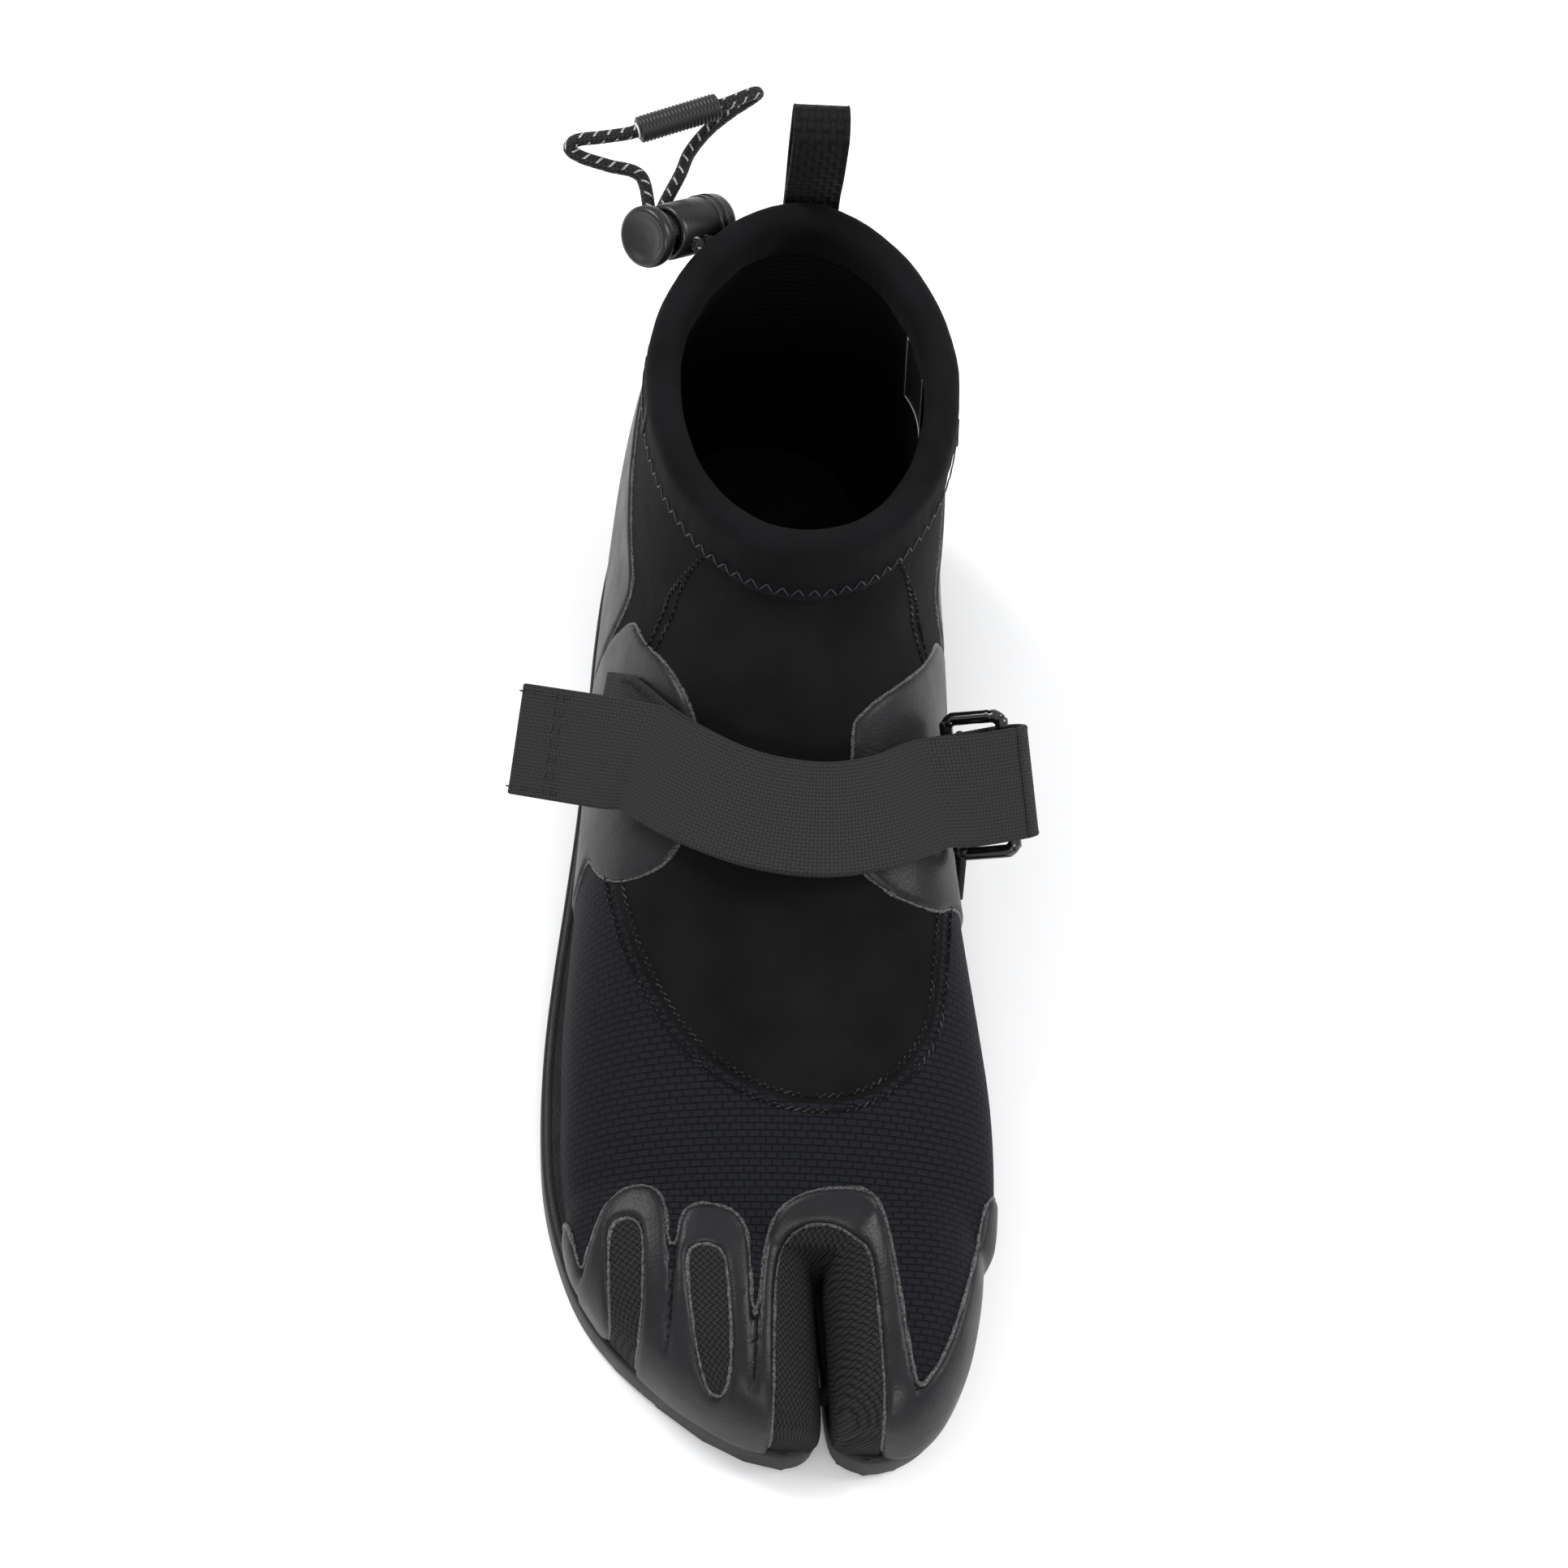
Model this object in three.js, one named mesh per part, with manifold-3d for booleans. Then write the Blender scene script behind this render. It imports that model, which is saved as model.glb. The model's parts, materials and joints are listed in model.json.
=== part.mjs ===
// Split-toe neoprene reef boot for the right foot, about EU 42, standing on its outsole.
// Millimetres. +Z is up, the toes point to -Y and the big toe is at +X. The origin is on the ground,
// under the middle of the sole.
import * as THREE from "three";
import { mergeVertices } from "three/addons/utils/BufferGeometryUtils.js";
import Module from "manifold-3d";

const wasm = await Module();
wasm.setup();

// ---- Driving dimensions -----------------------------------------------------------------------------
const bootLength = 269; // outsole, heel to toe
const forefootWidth = 97; // outsole, across the ball of the foot
const collarHeight = 108; // ground to the rim
const gap = 0.3; // air between pieces that touch

const neoprene = 2.5; // wall of the sock
const rubber = 0.8; // moulded overlays on the sock
const insertCloth = 0.5; // cloth in the windows of the toe overlay
const outsoleThickness = 4.7; // under the foot
const cupHeight = 9; // ground to the top edge of the outsole's side wall
const treadDepth = 1.6;
const groovePitch = 12; // the tread's cross grooves
const grooveWidth = 2;
const treadEnd = 118; // first and last groove from the middle of the sole
const footbedThickness = 3;
const footbedInset = 6; // footbed's edge in from the outsole's

const hemHeight = 14; // folded collar hem
const hemWall = 2;
const edgeDrop = 8.5; // the sock's edge ends this far below the rim, which leaves the drawcord's channel
const cordDiameter = 3;
const channelRoom = 0.7; // how much wider the drawcord's channel is than the cord
const hemFold = (cordDiameter + channelRoom - neoprene) / 2; // slack between the hem and the sock's edge
const exitRoom = cordDiameter * 0.4; // how much wider the cord's holes in the hem are

const strapWidth = 25;
const webbing = 1.6; // thickness of the strap
const strapLift = 1.55; // strap above the sock, clear of the overlays
const patchThickness = 0.6; // hook and loop patches
const ringWire = 3;
const ringSpan = 12; // between the ring's two bars
const ringClearance = 1; // between the ring's ends and the strap's edges
const foldSlack = 1; // how far the fold reaches past the ring's outer bar
const foldRoom = 2.1; // between the ring's outer bar and the strap folded round it

const tabWidth = 12.7;
const tabRise = 26; // pull tab above the rim
const tabRoom = 7.5; // finger gap in the pull tab

const barrelLength = 19; // cord lock
const barrelRadius = 6.4;
const barrelWall = 1.2;
const buttonRadius = 7;
const buttonThickness = 3.4;
const buttonTravel = 3.5;
const buttonDish = 1; // how deep the button's face is hollowed
const seatHeight = 13.2; // cords above the barrel's closed end
const cordPitch = 3.6; // between the two cords in the barrel
const slotEase = 0.3; // round the cords in the lock
const springWire = 0.7;
const springRadius = 3.2;
const springTurns = 3;
const sleeveLength = 19.5; // clip that joins the drawcord's two ends
const sleeveRadius = 3.2;
const sleeveEdge = 0.4; // rounding at its ends

const labelWidth = 14;
const labelHeight = 26;
const labelThickness = 0.5;
const labelStandoff = 2; // the flat label off the round inside of the collar

// ---- The last ---------------------------------------------------------------------------------------
// The sizes that the tables below are written for. Other sizes are graded from them.
const LAST = { length: 269, width: 97, height: 108, soleTop: 5 };
const soleTop = outsoleThickness + gap;
const grade = {
  x: forefootWidth / LAST.width,
  y: bootLength / LAST.length,
  z: (collarHeight - soleTop) / (LAST.height - LAST.soleTop),
};

// A section of the foot is an egg-shaped loop in a plane through a sideways line at rim height, over y.
// tilt is the plane's angle back from upright. near and far are how far from that line the loop begins, on
// the instep, and ends, under the sole or behind the heel. half is half its width. xNear and xFar are its
// middle at those two ends, and belly is where it is widest, as a share of its depth from the far end.
const section = (y, tilt, near, far, half, xNear, xFar, belly) =>
  ({ y, tilt, near, far, half, xNear, xFar, belly });
const FOOT = [
  section(-92, 0, 79, 112, 42.5, 2.5, 0.4, 0.6),
  section(-86, 0, 74.5, 115, 46.0, 3, -1.2, 0.58),
  section(-70, 0, 69.3, 116, 47.5, 3, -3.2, 0.56),
  section(-54, 0, 64.5, 116, 47.2, 3, -4.4, 0.54),
  section(-38, 0, 58.5, 116, 46.1, 2.2, -5.4, 0.5),
  section(-22, 0, 52.0, 116, 44.4, 1.4, -5.8, 0.46),
  section(-5, 0, 44.0, 116, 42.4, 1, -6.4, 0.42),
  section(-5, 15, 40.0, 120, 40.6, 0.6, -6.3, 0.42),
  section(-5, 30, 37.0, 133, 39.6, 0.4, -5.8, 0.44),
  section(-5, 41, 36.0, 151, 38.4, 0.2, -5.0, 0.46),
  section(-5, 48, 36.3, 165, 37.2, 0.2, -4.6, 0.47),
  section(-5, 53, 37.0, 169, 36.4, 0.2, -4.2, 0.47),
  section(-5, 58, 38.0, 162, 36.0, 0.2, -3.6, 0.47),
  section(-5, 65, 39.6, 154.5, 35.3, 0.3, -2.8, 0.48),
  section(-5, 73, 41.3, 145.5, 34.4, 0.4, -1.6, 0.48),
  section(-5, 81, 43.0, 137.5, 32.9, 0, -0.8, 0.5),
  section(-5, 90, 44.0, 133.0, 32.0, -0.3, -0.3, 0.5),
  section(-5, 99, 44.8, 135.0, 32.0, -0.3, -0.3, 0.5),
];
// A toe's section is upright, between the x of its two sides.
const toe = (y, top, left, right) =>
  section(y, 0, LAST.height - top, 112, (right - left) / 2, (left + right) / 2, (left + right) / 2, 0.55);
const SMALL_TOES = [
  toe(-131, 14, -3, 7),
  toe(-129, 21, -9, 9.6),
  toe(-122.5, 26.5, -20, 9.4),
  toe(-114, 29.5, -30, 8.8),
  toe(-105, 31.5, -38, 8.2),
  toe(-95, 32.8, -44, 7.6),
  toe(-85, 33, -46.4, 7),
  toe(-76, 32, -45.5, 6.5),
];
const BIG_TOE = [
  toe(-131.5, 14, 15.5, 27.5),
  toe(-129.5, 22, 12.8, 32),
  toe(-123.5, 27.5, 12, 37),
  toe(-114.5, 30.5, 11.4, 41),
  toe(-105, 32.5, 10.8, 43.2),
  toe(-95, 34, 10, 44.4),
  toe(-85, 34, 9.2, 44.2),
  toe(-76, 33, 8.6, 42.5),
];
const instepRoundness = 2.15; // superellipse powers of a section's two halves
const soleRoundness = 2.5;
const collarRoundness = 1.8;

// The outsole's outline, from the heel round the big toe's side to the heel again, split between the toes.
const SOLE_BIG_TOE = [
  [0, 136], [13, 133.5], [24, 125], [31, 111], [34, 92], [34.3, 66], [34.2, 40], [35.2, 15], [37.2, -6],
  [39.8, -24], [42.5, -42], [44.6, -60], [45.2, -78], [44.8, -94], [42.6, -107], [38.8, -118.5], [33.2, -127],
  [26.8, -131.6], [20, -133], [14.2, -130.4], [12, -124.5], [10.8, -112], [9.2, -97],
];
const SOLE_SMALL_TOES = [
  [8.2, -97], [9, -112], [9.4, -124], [7.4, -130], [2.2, -132.2], [-6, -130.4], [-15.2, -125.8],
  [-24.8, -118.6], [-34.2, -110], [-42, -99.5], [-47.4, -86], [-50.8, -70.5], [-51.9, -53], [-51.6, -36],
  [-50.1, -18], [-47.9, 2], [-45.6, 24], [-43.9, 48], [-42.6, 70], [-40.4, 90], [-36.5, 108], [-28.5, 123],
  [-15.5, 133],
];

// ---- Geometry helpers -------------------------------------------------------------------------------
const vec = (x, y, z) => new THREE.Vector3(x, y, z);
const graded = ([x, y]) => new THREE.Vector2(x * grade.x, y * grade.y);

// A three.js geometry as a manifold-3d solid.
function solid(geometry) {
  geometry.deleteAttribute("normal");
  geometry.deleteAttribute("uv");
  const merged = mergeVertices(geometry, 1e-3);
  const vertProperties = merged.attributes.position.array;
  const order = merged.index.array;
  return new wasm.Manifold(new wasm.Mesh({ numProp: 3, vertProperties, triVerts: new Uint32Array(order) }));
}

// Catmull-Rom value at t in a list of numbers.
function smooth(values, t) {
  const i = Math.max(0, Math.min(Math.floor(t), values.length - 2));
  const f = t - i;
  const at = (k) => values[Math.max(0, Math.min(values.length - 1, k))];
  const [a, b, c, d] = [at(i - 1), at(i), at(i + 1), at(i + 2)];
  return b + 0.5 * f * (c - a + f * (2 * a - 5 * b + 4 * c - d + f * (3 * (b - c) + d - a)));
}
function sectionAt(table, t) {
  const mixed = {};
  for (const key of Object.keys(table[0])) mixed[key] = smooth(table.map((row) => row[key]), t);
  return mixed;
}

// A point of the sock: t counts sections, and v goes round from the instep (0) over the big toe's side to the
// sole or heel (0.5). The sole side is cut flat at the top of the outsole.
function footPoint(table, t, v) {
  const s = sectionAt(table, t);
  const turn = v * 2 * Math.PI;
  const power = (value, n) => Math.sign(value) * Math.abs(value) ** (2 / n);
  const middle = s.far - s.belly * (s.far - s.near);
  const soleSide = Math.cos(turn) < 0;
  const heelShare = (s.tilt / 90) ** 2;
  const n = soleSide ? soleRoundness + (collarRoundness - soleRoundness) * heelShare : instepRoundness;
  const reach = soleSide ? s.far - middle : middle - s.near;
  const r = middle - power(Math.cos(turn), n) * reach;
  const fromFar = (s.far - r) / (s.far - s.near);
  const x = s.xFar + (s.xNear - s.xFar) * fromFar + power(Math.sin(turn), n) * s.half;
  const tilt = THREE.MathUtils.degToRad(s.tilt);
  const aboveSole = Math.max(0, LAST.height - LAST.soleTop - r * Math.cos(tilt));
  return vec(x * grade.x, (s.y + r * Math.sin(tilt)) * grade.y, soleTop + aboveSole * grade.z);
}
function footNormal(table, t, v) {
  const [dt, dv] = [0.05, 0.01];
  const along = footPoint(table, t + dt, v).sub(footPoint(table, t - dt, v));
  const round = footPoint(table, t, v + dv).sub(footPoint(table, t, v - dv));
  return round.cross(along).normalize();
}
const footOffset = (t, v, offset) => footPoint(FOOT, t, v).addScaledVector(footNormal(FOOT, t, v), offset);

// Rows of points, one loop after another, joined into one closed solid with flat ends.
function loft(rows) {
  const around = rows[0].length;
  const points = rows.flat();
  const index = [];
  for (let i = 0; i + 1 < rows.length; i++)
    for (let j = 0; j < around; j++) {
      const k = (j + 1) % around;
      const [a, b, c, d] = [i * around + j, i * around + k, (i + 1) * around + k, (i + 1) * around + j];
      index.push(a, b, c, a, c, d);
    }
  for (const row of [0, rows.length - 1]) {
    const centre = rows[row].reduce((sum, p) => sum.add(p), vec(0, 0, 0)).divideScalar(around);
    points.push(centre);
    for (let j = 0; j < around; j++) {
      const [a, b] = [row * around + j, row * around + ((j + 1) % around)];
      index.push(...(row === 0 ? [b, a, points.length - 1] : [a, b, points.length - 1]));
    }
  }
  return solid(new THREE.BufferGeometry().setFromPoints(points).setIndex(index));
}

// A table's tube of sections, grown along its normals. Its flat underside stays level.
function tube(table, offset, steps, around) {
  const base = [];
  for (let i = 0; i <= steps; i++) {
    const t = (i / steps) * (table.length - 1);
    base.push(Array.from({ length: around }, (_, j) => footPoint(table, t, j / around)));
  }
  return loft(base.map((row, i) => row.map((p, j) => {
    const along = base[Math.min(i + 1, steps)][j].clone().sub(base[Math.max(i - 1, 0)][j]);
    const round = row[(j + 1) % around].clone().sub(row[(j + around - 1) % around]);
    const grown = p.clone().addScaledVector(round.cross(along).normalize(), offset);
    // The first loop's flat end moves straight ahead, so that the toes keep their wall.
    if (i === 0) grown.y = p.y - offset;
    grown.z = Math.max(grown.z, soleTop - offset);
    return grown;
  })));
}

// The whole sock as one solid, grown by offset, and the layer between two offsets.
const sockCache = new Map();
function sock(offset) {
  if (!sockCache.has(offset)) {
    const foot = tube(FOOT, offset, 28, 26);
    const small = tube(SMALL_TOES, offset, 9, 16);
    const big = tube(BIG_TOE, offset, 9, 16);
    sockCache.set(offset, foot.add(small).add(big));
  }
  return sockCache.get(offset);
}
const layer = (inner, outer) => sock(outer).subtract(sock(inner));

function block(x0, x1, y0, y1, z0, z1) {
  const box = new THREE.BoxGeometry(x1 - x0, y1 - y0, z1 - z0);
  return solid(box.translate((x0 + x1) / 2, (y0 + y1) / 2, (z0 + z1) / 2));
}
const FAR = 400; // past everything, for cutting shapes
const slab = (z0, z1) => block(-FAR, FAR, -FAR, FAR, z0, z1);
const yBand = (y0, y1) => block(-FAR, FAR, y0 * grade.y, y1 * grade.y, -FAR, FAR);

// A closed outline moved outwards by a distance, whichever way it runs.
function growOutline(points, distance) {
  const sign = THREE.ShapeUtils.isClockWise(points) ? -1 : 1;
  return points.map((p, i) => {
    const before = points[(i + points.length - 1) % points.length];
    const after = points[(i + 1) % points.length];
    const d1 = p.clone().sub(before).normalize();
    const d2 = after.clone().sub(p).normalize();
    const normal = new THREE.Vector2(d1.y + d2.y, -d1.x - d2.x).normalize();
    const miter = 1 / Math.max(0.4, normal.dot(new THREE.Vector2(d1.y, -d1.x)));
    return p.clone().addScaledVector(normal, sign * distance * miter);
  });
}

// A region seen from above, given as graded [x, y] points, and one seen from the side, as [y, z] points.
function planRegion(outline, grow = 0, z0 = -FAR, z1 = FAR) {
  const shape = new THREE.Shape(growOutline(outline.map(graded), grow));
  return solid(new THREE.ExtrudeGeometry(shape, { depth: z1 - z0, bevelEnabled: false }).translate(0, 0, z0));
}
function sideRegion(outline, grow = 0) {
  const level = (z) => soleTop + (z - LAST.soleTop) * grade.z;
  const base = outline.map(([y, z]) => new THREE.Vector2(y * grade.y, level(z)));
  const shape = new THREE.Shape(growOutline(base, grow));
  const across = new THREE.ExtrudeGeometry(shape, { depth: 2 * FAR, bevelEnabled: false });
  const turned = new THREE.Matrix4().makeBasis(vec(0, 1, 0), vec(0, 0, 1), vec(1, 0, 0));
  return solid(across.applyMatrix4(turned).translate(-FAR, 0, 0));
}

// Stations set closer together along a smooth curve.
function refined(stations, parts) {
  const path = new THREE.CatmullRomCurve3(stations.map((s) => s.at), false, "centripetal");
  const close = [];
  for (let i = 0; i <= (stations.length - 1) * parts; i++) {
    const k = Math.min(Math.floor(i / parts), stations.length - 2);
    const share = i / parts - k;
    const mix = (key) => stations[k][key].clone().lerp(stations[k + 1][key], share).normalize();
    close.push({ at: path.getPoint(i / parts / (stations.length - 1)), side: mix("side"), up: mix("up") });
  }
  return close;
}

// A flat band of webbing along stations, each with its middle, its width direction and its upper normal.
function band(stations, width, thickness) {
  const rows = stations.map(({ at, side, up }) => {
    const corner = (across, over) =>
      at.clone().addScaledVector(side, (across * width) / 2).addScaledVector(up, (over * thickness) / 2);
    return [corner(-1, -1), corner(1, -1), corner(1, 1), corner(-1, 1)];
  });
  const made = loft(rows);
  return made.volume() > 0 ? made : loft(rows.reverse());
}

// A round tube along a curve.
function cord(points, diameter, steps, sides = 8) {
  const path = new THREE.CatmullRomCurve3(points, false, "centripetal");
  const circle = new THREE.Shape();
  for (let i = 0; i < sides; i++) {
    const angle = (i / sides) * 2 * Math.PI;
    const [x, y] = [(Math.cos(angle) * diameter) / 2, (Math.sin(angle) * diameter) / 2];
    if (i === 0) circle.moveTo(x, y);
    else circle.lineTo(x, y);
  }
  return solid(new THREE.ExtrudeGeometry(circle, { steps, extrudePath: path, bevelEnabled: false }));
}

// A round wire bent into a closed loop, with the first section repeated as the last.
function wireRing(points, diameter) {
  const path = new THREE.CatmullRomCurve3(points, true, "centripetal");
  const [steps, sides] = [40, 8];
  const middle = points.reduce((sum, p) => sum.add(p), vec(0, 0, 0)).divideScalar(points.length);
  const flatNormal = points[0].clone().sub(middle).cross(points[3].clone().sub(middle)).normalize();
  const index = [];
  const vertices = [];
  for (let i = 0; i < steps; i++) {
    const at = path.getPointAt(i / steps);
    const out = path.getTangentAt(i / steps).cross(flatNormal).normalize();
    for (let j = 0; j < sides; j++) {
      const angle = (j / sides) * 2 * Math.PI;
      const [c, sn] = [(Math.cos(angle) * diameter) / 2, (Math.sin(angle) * diameter) / 2];
      vertices.push(at.clone().addScaledVector(out, c).addScaledVector(flatNormal, sn));
      const [a, b] = [i * sides + j, i * sides + ((j + 1) % sides)];
      const [d, e] = [((i + 1) % steps) * sides + j, ((i + 1) % steps) * sides + ((j + 1) % sides)];
      index.push(a, b, e, a, e, d);
    }
  }
  const made = solid(new THREE.BufferGeometry().setFromPoints(vertices).setIndex(index));
  if (made.volume() > 0) return made;
  return solid(flipped(new THREE.BufferGeometry().setFromPoints(vertices).setIndex(index)));
}

// A turned solid about an axis: profile points are [radius, distance along the axis from its start].
function turned(profile, start, direction, sides = 24) {
  const lathe = new THREE.LatheGeometry(profile.map(([r, h]) => new THREE.Vector2(r, h)), sides);
  const toAxis = new THREE.Quaternion().setFromUnitVectors(vec(0, 1, 0), direction);
  lathe.applyQuaternion(toAxis).translate(start.x, start.y, start.z);
  const made = solid(lathe);
  return made.volume() > 0 ? made : solid(flipped(lathe));
}
function flipped(geometry) {
  const order = geometry.index.array;
  for (let i = 0; i < order.length; i += 3) [order[i + 1], order[i + 2]] = [order[i + 2], order[i + 1]];
  return geometry;
}

const boot = new THREE.Group();
boot.name = "split_toe_reef_boot";
function piece(name, made, color, roughness = 0.8, metalness = 0) {
  const { numProp, numVert, vertProperties, triVerts } = made.getMesh();
  const position = new Float32Array(numVert * 3);
  for (let i = 0; i < numVert; i++)
    position.set(vertProperties.subarray(i * numProp, i * numProp + 3), i * 3);
  const geometry = new THREE.BufferGeometry();
  geometry.setAttribute("position", new THREE.BufferAttribute(position, 3));
  geometry.setIndex(new THREE.BufferAttribute(triVerts, 1));
  geometry.computeVertexNormals();
  const mesh = new THREE.Mesh(geometry, new THREE.MeshStandardMaterial({ color, roughness, metalness }));
  mesh.name = name;
  boot.add(mesh);
}
const NEOPRENE = 0x141416;
const MESH_CLOTH = 0x1b1e26;
const RUBBER = 0x26282c;
const WEBBING = 0x343536;
const PLASTIC = 0x111111;
const FOAM = 0x222222;
const STEEL = 0x9a9a9a;
const LABEL_TAPE = 0x1a1a1a;

// ---- Outsole and footbed ----------------------------------------------------------------------------
const soleOutline = [...SOLE_BIG_TOE, ...SOLE_SMALL_TOES];
function outsole() {
  const cup = planRegion(soleOutline, 0, 0, cupHeight).subtract(sock(gap));
  const grooves = [];
  for (let y = -treadEnd; y <= treadEnd; y += groovePitch)
    grooves.push(block(-FAR, FAR, y * grade.y, y * grade.y + grooveWidth, -1, treadDepth));
  return grooves.reduce((left, groove) => left.subtract(groove), cup);
}
piece("outsole", outsole(), RUBBER, 0.6);

const insideBottom = soleTop + neoprene + gap; // inside the sock, on its bottom
const footbedSlab = slab(insideBottom, insideBottom + footbedThickness);
const footbedShape = planRegion(soleOutline, -footbedInset);
piece("insole_footbed", sock(-neoprene - gap).intersect(footbedSlab).intersect(footbedShape), FOAM, 0.9);

// ---- The sock's panels ------------------------------------------------------------------------------
const shellTop = collarHeight - edgeDrop;
const shell = layer(-neoprene, 0).intersect(slab(-FAR, shellTop));
const upper = shell.intersect(slab(soleTop + neoprene + gap, FAR));
piece("sock_bottom", sock(0).intersect(slab(soleTop, soleTop + neoprene)), NEOPRENE, 0.9);

// The instep panel is a long U that runs from under the collar to the ball of the foot.
const INSTEP_PLAN = [
  [-39, 70], [-39.5, -4], [-35.5, -24], [-29.5, -38], [-21, -51], [-8, -60.5], [6, -64], [20, -61], [29, -52],
  [33.5, -43], [35, -23], [36, 0], [37, 70],
];
const INSTEP_SIDE = [[-80, 10], [-45, 22], [-8, 34], [22, 50], [42, 70], [47, 93], [50, 140], [-80, 140]];
const instep = (grow) => planRegion(INSTEP_PLAN, grow).intersect(sideRegion(INSTEP_SIDE, grow));
piece("instep_panel", upper.intersect(instep(0)), NEOPRENE, 0.85);

const aroundInstep = upper.subtract(instep(gap));
const quarterFront = 4; // where the forefoot panel meets the two quarters
piece("forefoot_panel", aroundInstep.intersect(yBand(-FAR, quarterFront)), MESH_CLOTH, 0.75);

const behind = aroundInstep.intersect(yBand(quarterFront + gap, FAR));
const heelSeam = -1 * grade.x; // the quarters meet here, up the back of the heel
const lateralOfSeam = block(-FAR, heelSeam - gap / 2, -FAR, FAR, -FAR, FAR);
const medialOfSeam = block(heelSeam + gap / 2, FAR, -FAR, FAR, -FAR, FAR);
piece("lateral_quarter", behind.intersect(lateralOfSeam), NEOPRENE, 0.85);
piece("medial_quarter", behind.intersect(medialOfSeam), NEOPRENE, 0.85);

// ---- Collar hem with its drawcord -------------------------------------------------------------------
const hemOuter = hemFold + hemWall;
const hemInner = -neoprene - hemFold - hemWall;
const hemSeam = 74; // where the hem's front and rear lengths meet
const rimExtra = 0.2; // the hem's rim is this much thicker than its walls
const channelTop = collarHeight - hemWall - rimExtra;
const cordLevel = channelTop - cordDiameter / 2 - gap;
const cordLine = -neoprene / 2; // the drawcord lies in the middle of the channel

// The foot's surface where it crosses a level, near the collar.
function atLevel(v, z, offset) {
  let [low, high] = [8, FOOT.length - 1];
  for (let i = 0; i < 24; i++) {
    const t = (low + high) / 2;
    if (footPoint(FOOT, t, v).z < z) low = t;
    else high = t;
  }
  const out = footNormal(FOOT, low, v).setZ(0).normalize();
  return footPoint(FOOT, low, v).addScaledVector(out, offset);
}
const exitFront = 0.621; // v of the two places where the drawcord comes out of the hem
const exitRear = 0.598;
const exitMiddle = (exitFront + exitRear) / 2;

// ---- Cord lock: where it sits -----------------------------------------------------------------------
// It hangs outside the rim on its two cords. lockOut is the way the cords leave the collar.
const exitPoint = atLevel(exitMiddle, cordLevel, hemOuter);
const lockOut = vec(-0.72, 0.66, -0.2).normalize();
const barrelAxis = vec(-0.65, -0.58, 0.48).projectOnPlane(lockOut).normalize(); // towards the button
const lockStandoff = 2; // free cord between the hem and the barrel
const seatMiddle = seatHeight - barrelLength / 2; // the cords lie nearer the button than the barrel's middle
const lockCentre = exitPoint.clone()
  .addScaledVector(lockOut, lockStandoff + barrelRadius)
  .addScaledVector(barrelAxis, -seatMiddle);
const onLock = (along, out) =>
  lockCentre.clone().addScaledVector(barrelAxis, along).addScaledVector(lockOut, out);
const cordSeats = [seatMiddle + cordPitch / 2, seatMiddle - cordPitch / 2]; // along the barrel: front, rear

const hemBottom = collarHeight - hemHeight;
const hemSolid = sock(hemOuter).subtract(sock(hemInner)).intersect(slab(hemBottom, collarHeight));
const channel = layer(-neoprene - hemFold, hemFold).intersect(slab(0, channelTop));
const stubPaths = [exitFront, exitRear].map((v, i) => {
  const inside = atLevel(v, cordLevel, cordLine + 0.4);
  const leaving = atLevel(v, cordLevel, hemOuter + 0.8);
  const straight = [-barrelRadius - 0.5, -barrelRadius / 2, -gap / 2];
  return [inside, leaving, ...straight.map((out) => onLock(cordSeats[i], out))];
});
const exits = stubPaths.map(([a, b]) => {
  const outward = b.clone().sub(a).normalize();
  return cord([a, b.clone().addScaledVector(outward, 3)], cordDiameter + exitRoom, 1);
});
const hem = exits.reduce((left, hole) => left.subtract(hole), hemSolid.subtract(channel));
piece("collar_hem_front", hem.intersect(yBand(-FAR, hemSeam)), NEOPRENE, 0.9);
piece("collar_hem_rear", hem.intersect(yBand(hemSeam + gap, FAR)), NEOPRENE, 0.9);

// The drawcord runs the long way round the collar between its two exits.
const cordPoints = [];
const cordStops = 36;
const exitGap = 0.018; // the drawcord stops this much short of its exits, as a share of the way round
const [fromV, toV] = [exitFront + exitGap, exitRear + 1 - exitGap];
for (let i = 0; i <= cordStops; i++) {
  const v = fromV + ((toV - fromV) * i) / cordStops;
  cordPoints.push(atLevel(v % 1, cordLevel, cordLine));
}
piece("collar_drawcord", cord(cordPoints, cordDiameter, 44), PLASTIC, 0.7);

// ---- Rubber overlays --------------------------------------------------------------------------------
const underHem = 1; // between the overlays and the hem
const skin = layer(gap, gap + rubber).intersect(slab(cupHeight + gap, hemBottom - underHem));

// Toe overlay, seen from above: three arches over the toes with tongues of mesh between them.
const TOE_OVERLAY = [
  [-60, -150], [-60, -72], [-50, -72], [-46, -84], [-42.5, -97], [-40.5, -90], [-38, -83], [-32, -79],
  [-26.2, -81], [-24.6, -88], [-23.8, -115], [-22.6, -88], [-19, -84], [-13, -84.5], [-8.2, -87],
  [-6.8, -94], [-5.6, -124], [-4, -94], [-1.5, -86], [4, -82], [12, -80.5], [19, -80.5], [22, -84],
  [24.5, -97], [27, -113], [29.5, -124], [35, -117], [39.5, -104], [43, -90], [46, -74], [60, -74],
  [60, -150],
];
const OUTER_WINDOW = [
  [-37.5, -90], [-35.5, -87], [-31, -87.5], [-29.6, -92], [-29.6, -112], [-31, -118], [-36, -111],
];
const MIDDLE_WINDOW = [
  [-21, -97], [-19.5, -93.5], [-13.5, -93.5], [-11.8, -97], [-10.2, -116], [-11, -126], [-17, -122],
];
const SPLIT_WINDOW = [
  [-0.6, -150], [-1.6, -112], [-1, -95], [2, -89.5], [8, -87.6], [14, -88.6], [18.4, -92.5], [20, -97],
  [22.2, -118], [24, -150],
];
const windows = [OUTER_WINDOW, MIDDLE_WINDOW, SPLIT_WINDOW];
const toeSkin = skin.intersect(planRegion(TOE_OVERLAY));
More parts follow.
